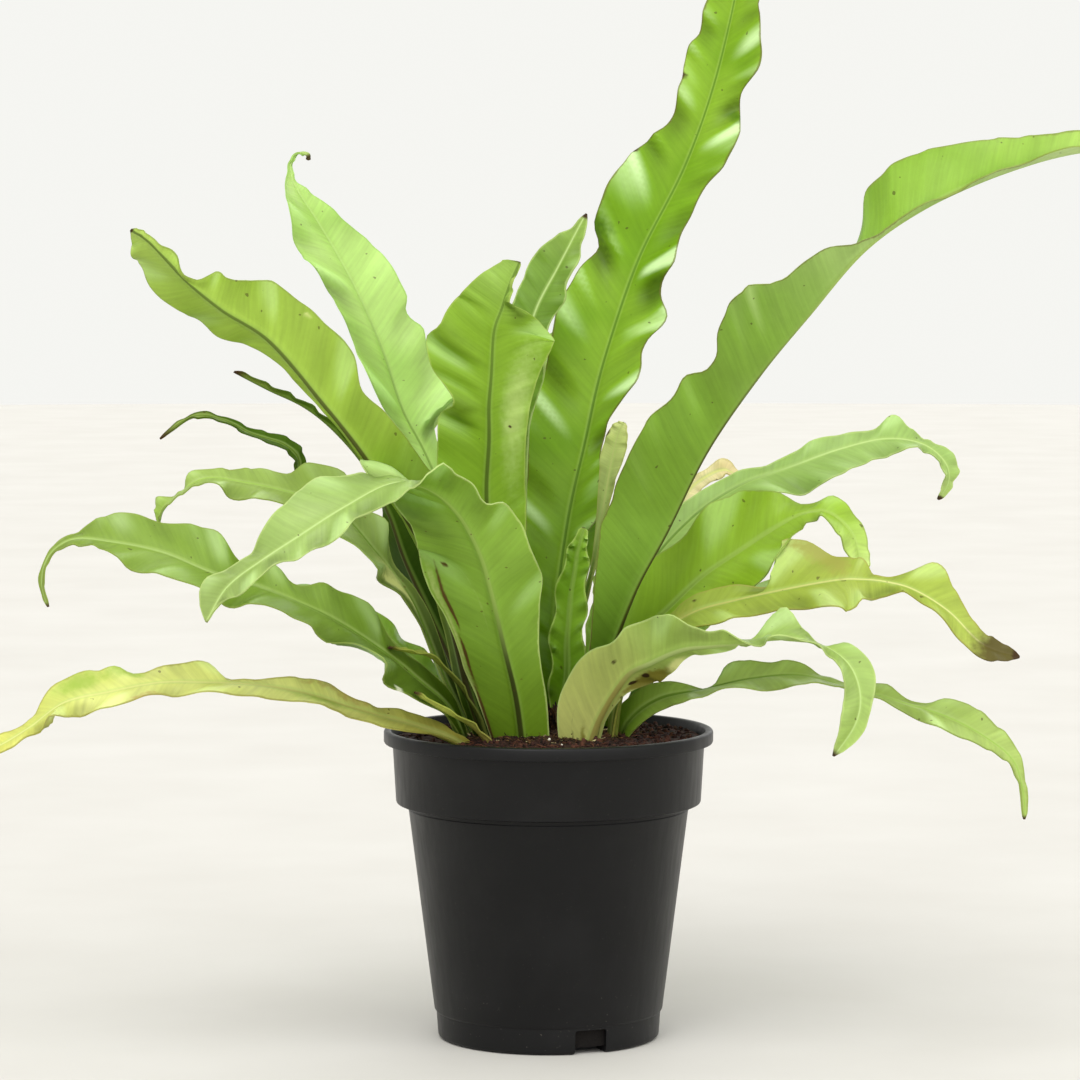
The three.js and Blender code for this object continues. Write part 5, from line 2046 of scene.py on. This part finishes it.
            (109, -60, 186, 13, 15, 35), (118, -62, 186.5, 9, 13, 35), (127, -65, 186, 5, 8, 35),
            (138, -67, 183, 11, 6, 35), (151, -69, 175, 10, 7, 40), (162, -70, 164, 7, 7, 50),
            (170, -70, 160, 4, 4, 45), (178, -70, 158, 1, 1, 45),
        ),
        outlines=(
            ((672, 616), (681, 603), (719, 587), (770, 578), (783, 552), (798, 547), (812, 546), (834, 554),
             (852, 557), (866, 562), (873, 573), (881, 580)),
            ((690, 628), (732, 622), (751, 613), (783, 606), (800, 604), (826, 610), (850, 611), (864, 605),
             (876, 594), (882, 582)),
            ((911, 570), (939, 568), (962, 600), (981, 629), (1006, 645)),
            ((885, 584), (920, 600), (949, 626), (971, 651), (990, 661), (1016, 659)),
        ),
        halves=(1, -1, 1, -1),
        marks=(
            Mark(Tone.DARK, 1.0, 0.0, 0.16, 3.0, 1.2), Mark(Tone.BROWN, 1.0, 0.0, 0.03, 3.0, 1.1),
            Mark(Tone.BROWN, 0.244, 0.6, 0.004, 0.1, 1.1), Mark(Tone.DRY, 0.47, 0.5, 0.05, 0.6, 0.6),
            Mark(Tone.DRY, 0.42, 0.9, 0.05, 0.25, 0.6), Mark(Tone.DRY, 0.22, 0.2, 0.05, 0.7, 0.45),
        ),
    ),
    Frond(
        "frond_upper_right", "frond_pale", replace(
            PALE_UPPER, name="blade_upper_right_upper", face=(170, 200, 114), shade=(154, 186, 94)),
        PALE_UNDER, heading=15, fold=12, waves=6, ruffle=0.12, phase=0.9, columns=22,
        rows=(
            (15, 13, 112, 4, 4, 10), (22, 13, 144, 5, 5, 30), (36, 18, 179, 8, 9, 40),
            (56, 22, 203, 8, 10, 40), (77, 26, 217, 8, 10, 40), (97, 30, 224, 8, 11, 40),
            (117, 32, 231, 8, 10, 40), (135, 34, 235, 8, 8, 40), (150, 35, 233, 6, 5, 40),
            (159, 35, 226, 4, 4, 60), (161, 35, 218, 3.5, 3.5, 60), (157, 35, 210, 1.5, 1.5, 60),
        ),
        outlines=(
            ((719, 495), (739, 479), (783, 457), (825, 437), (872, 428), (892, 418), (911, 428), (933, 441),
             (949, 450), (959, 469), (952, 488)),
            ((790, 498), (812, 488), (834, 479), (879, 457), (911, 450), (939, 452), (943, 472),
             (936, 495)),
        ),
        marks=(Mark(Tone.BROWN, 1.0, 0.0, 0.02, 2.0, 1.2),),
    ),
    Frond(
        "frond_small_pale", "frond_straw", replace(
            STRAW_UPPER, name="blade_small_pale_upper", face=(206, 218, 138), shade=(192, 206, 118),
            tip=(214, 222, 150), scorch_from=0.995, foot=(70, 108, 10), foot_to=0.9, rib=(196, 206, 130),
            rib_foot=(90, 126, 30)),
        STRAW_UNDER, heading=70, fold=10, waves=2, ruffle=0.1, phase=0.3, columns=12,
        rows=(
            (8, 18, 112, 3, 3, 0), (11, 20, 155, 1.5, 1.5, 0), (18, 21, 187, 1, 1, 0),
            (23, 22, 215, 3, 3, 0), (25.5, 22, 229, 5, 5, 0), (28, 22, 238, 4, 4, 0),
            (30, 22, 242, 1.5, 1.5, 0),
        ),
        marks=(Mark(Tone.BROWN, 0.8, 1.0, 0.05, 0.25, 0.8),),
    ),
    Frond(
        "frond_withered_curl", "frond_straw", replace(
            STRAW_UPPER, name="blade_withered_upper", face=(242, 234, 190), shade=(230, 220, 168),
            tip=(226, 210, 160), scorch_from=0.99),
        replace(
            STRAW_UNDER, name="blade_withered_under", face=(240, 232, 186), shade=(228, 218, 164),
            tip=(224, 208, 156), scorch_from=0.99),
        heading=40, fold=10, waves=3, ruffle=0.15, phase=0.6, columns=12,
        rows=(
            (19, 17, 112, 3, 3, 0), (29, 26, 156, 3, 3, 20), (43, 36, 187, 4, 4, 30),
            (50, 40, 202, 6, 5, 40), (56, 42, 213, 5, 5, 40), (63, 42, 219, 3, 3, 40),
            (71, 42, 222, 4, 4, 60), (77, 40, 219, 1.5, 1.5, 60),
        ),
    ),
    Frond(
        "frond_young_tall", "frond_pale", replace(
            GLOSSY, name="blade_young_tall_upper", face=(150, 194, 56), shade=(112, 156, 28),
            margin_and_edge_highlight=(190, 214, 110), foot=(74, 112, 10)),
        replace(MATT, name="blade_young_tall_under", face=(158, 200, 70), shade=(130, 172, 42)), heading=90,
        fold=25, waves=5, ruffle=0.2, phase=0.1, columns=18, pleat=1.5 * MM, pleat_pitch=7 * MM,
        rows=(
            (5, 4, 112, 4, 4, 0), (7, 5, 140, 7, 7, 0), (8, 7, 165, 7, 7, 0), (11, 8, 188, 5, 5, 0),
            (14, 8, 201, 1.5, 1.5, 0),
        ),
    ),
    Frond(
        "frond_young_short", "frond_green", GLOSSY, MATT, heading=-60, fold=25, waves=5, ruffle=0.2,
        phase=0.5, columns=16, pleat=1.3 * MM, pleat_pitch=7 * MM,
        rows=(
            (8, -4, 112, 2, 2, 0), (14, -4, 138, 2.5, 2.5, 0), (19, -5, 165, 3.4, 3.4, 0),
            (22, -6, 185, 3, 3, 0), (23, -6, 197, 1, 1, 0),
        ),
    ),
    Frond(
        "stub_upper", "frond_straw", STUB, STUB, heading=200, fold=0, waves=1, ruffle=0, phase=0,
        columns=10,
        rows=(
            (-20, -17, 112, 2, 2, 0), (-31, -25, 138, 2, 2, 0), (-44, -33, 153.7, 3, 3, 0),
            (-53, -39, 157, 3, 3, 0), (-61.5, -43, 159, 1.5, 1.5, 0),
        ),
    ),
    Frond(
        "stub_lower", "frond_straw", STUB_LIGHT, STUB_LIGHT, heading=215, fold=0, waves=1, ruffle=0,
        phase=0, columns=10,
        rows=(
            (-18, -22, 112, 2.5, 2.5, 0), (-28, -33, 126.5, 2.5, 2.5, 0), (-40, -45, 135, 2.8, 2.8, 0),
            (-51, -54, 143, 1.5, 1.5, 0),
        ),
    ),
    Frond(
        "frond_back_upright", "frond_green", GLOSSY, MATT, heading=95, fold=20, waves=6, ruffle=0.14,
        phase=0.2,
        rows=(
            (-4, 20, 112, 4, 4, 0), (-6, 40, 170, 8, 8, 0), (-8, 68, 225, 17, 17, 0),
            (-10, 105, 258, 20, 20, 0), (-12, 145, 268, 17, 17, 0), (-14, 182, 255, 10, 10, 0),
            (-15, 208, 230, 1.5, 1.5, 0),
        ),
    ),
    Frond(
        "frond_back_right", "frond_green", GLOSSY, MATT, heading=60, fold=18, waves=5, ruffle=0.14,
        phase=0.5, columns=20,
        rows=(
            (13, 24, 112, 4, 4, 0), (22, 42, 148, 8, 8, 0), (34, 66, 170, 12, 12, 0),
            (46, 92, 178, 13, 13, 0), (57, 118, 172, 9, 9, 0), (64, 138, 155, 1.5, 1.5, 0),
        ),
    ),
    Frond(
        "frond_back_left", "frond_green", GLOSSY, MATT, heading=125, fold=18, waves=5, ruffle=0.14,
        phase=0.8, columns=20,
        rows=(
            (-19, 20, 112, 4, 4, 0), (-30, 36, 155, 7, 7, 0), (-44, 64, 185, 12, 12, 0),
            (-56, 94, 195, 13, 13, 0), (-66, 122, 190, 9, 9, 0), (-72, 142, 178, 1.5, 1.5, 0),
        ),
    ),
    Frond(
        "frond_back_high", "frond_pale", PALE_UPPER, PALE_UNDER, heading=112, fold=20, waves=6, ruffle=0.14,
        phase=0.3, columns=22,
        rows=(
            (-10, 26, 112, 4, 4, 0), (-18, 48, 175, 7, 7, 0), (-28, 78, 225, 14, 14, 0),
            (-37, 110, 248, 15, 15, 0), (-45, 143, 248, 12, 12, 0), (-52, 172, 230, 1.5, 1.5, 0),
        ),
    ),
    Frond(
        "frond_back_short", "frond_green", GLOSSY, MATT, heading=80, fold=20, waves=5, ruffle=0.14,
        phase=0.7, columns=18,
        rows=(
            (3, 27, 112, 3, 3, 0), (8, 50, 165, 7, 7, 0), (14, 76, 205, 10, 10, 0), (19, 104, 222, 9, 9, 0),
            (23, 130, 214, 1.5, 1.5, 0),
        ),
    ),
    Frond(
        "frond_side_right", "frond_green", GLOSSY, MATT, heading=32, fold=15, waves=5, ruffle=0.14,
        phase=0.1, columns=18,
        rows=(
            (26, 12, 112, 3, 3, 0), (42, 24, 142, 7, 7, 0), (66, 42, 162, 9, 9, 0), (92, 62, 172, 8, 8, 0),
            (114, 80, 174, 6, 6, 0), (126, 90, 169, 1.5, 1.5, 0),
        ),
    ),
    Frond(
        "frond_side_left", "frond_green", GLOSSY, MATT, heading=150, fold=15, waves=5, ruffle=0.14,
        phase=0.6, columns=18,
        rows=(
            (-31, 7, 112, 3, 3, 0), (-46, 24, 138, 6, 6, 0), (-66, 42, 155, 8, 8, 0),
            (-88, 58, 167, 8, 8, 0), (-107, 72, 172, 6, 6, 0), (-120, 82, 168, 1.5, 1.5, 0),
        ),
    ),
)


@dataclass(frozen=True)
class Lamp:
    """Distant soft lamp that shines on the plant from its place, as broad as breadth degrees."""

    name: str
    place: tuple[float, float, float]
    breadth: float
    strength: float

    def build(self) -> None:
        """Makes the lamp and turns it to the plant."""
        data = bpy.data.lights.new(self.name, "SUN")
        data.angle = self.breadth * DEGREE
        data.energy = self.strength
        lamp = bpy.data.objects.new(self.name, data)
        lamp.location = self.place
        lamp.rotation_euler = (-Vector(self.place)).to_track_quat("-Z", "Y").to_euler()
        bpy.context.scene.collection.objects.link(lamp)


@dataclass
class Studio:
    """Plain pale floor and surroundings, and broad soft lamps of a strength in watts a square metre."""

    floor_radius: float = 6.0
    floor_sides: int = 96
    floor_height: float = -0.2 * MM
    floor: Colour = (205, 203, 198)
    grain: Colour = (193, 190, 184)
    grain_scale: float = 9.0
    grain_detail: float = 4.0
    roughness: float = 0.8
    ior: float = 1.3
    surroundings: Colour = (250, 250, 246)
    ambient: float = 0.96
    lamps: tuple[Lamp, ...] = (
        Lamp("key", (-0.35, -0.7, 1.1), 40, 1.35),
        Lamp("front", (0.45, -1.0, 0.3), 110, 2.1),
        Lamp("back", (0.4, 1.2, 0.9), 50, 0.5),
    )

    def build(self) -> None:
        """Makes the floor, the surroundings and the lamps."""
        bare_selection()
        bpy.ops.mesh.primitive_circle_add(
            vertices=self.floor_sides, radius=self.floor_radius, fill_type="NGON",
            location=(0, 0, self.floor_height))
        floor = bpy.context.object
        floor.name = "floor"
        paint = Paint("floor_paint")
        clouds = paint.noise(paint.place(), self.grain_scale, self.grain_detail)
        tone = paint.mix(clouds, linear(self.floor), linear(self.grain))
        surface = {"Base Color": tone, "Roughness": self.roughness, "IOR": self.ior}
        dress(floor, paint.done(paint.principled(surface)))
        world = bpy.data.worlds.new("surroundings")
        world.use_nodes = True
        background = world.node_tree.nodes["Background"]
        background.inputs[0].default_value = linear(self.surroundings)
        background.inputs[1].default_value = self.ambient
        bpy.context.scene.world = world
        for lamp in self.lamps:
            lamp.build()
        bpy.context.scene.view_settings.view_transform = "Standard"


def main() -> None:
    """Builds the stage, the pot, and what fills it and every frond."""
    logging.basicConfig(level=logging.INFO, format="%(name)s %(message)s")
    VIEW.camera()
    Studio().build()
    pot = NurseryPot()
    pot.build()
    Soil(pot).build()
    Crown().build()
    for frond in FRONDS:
        frond.build()


if __name__ == "__main__":
    main()
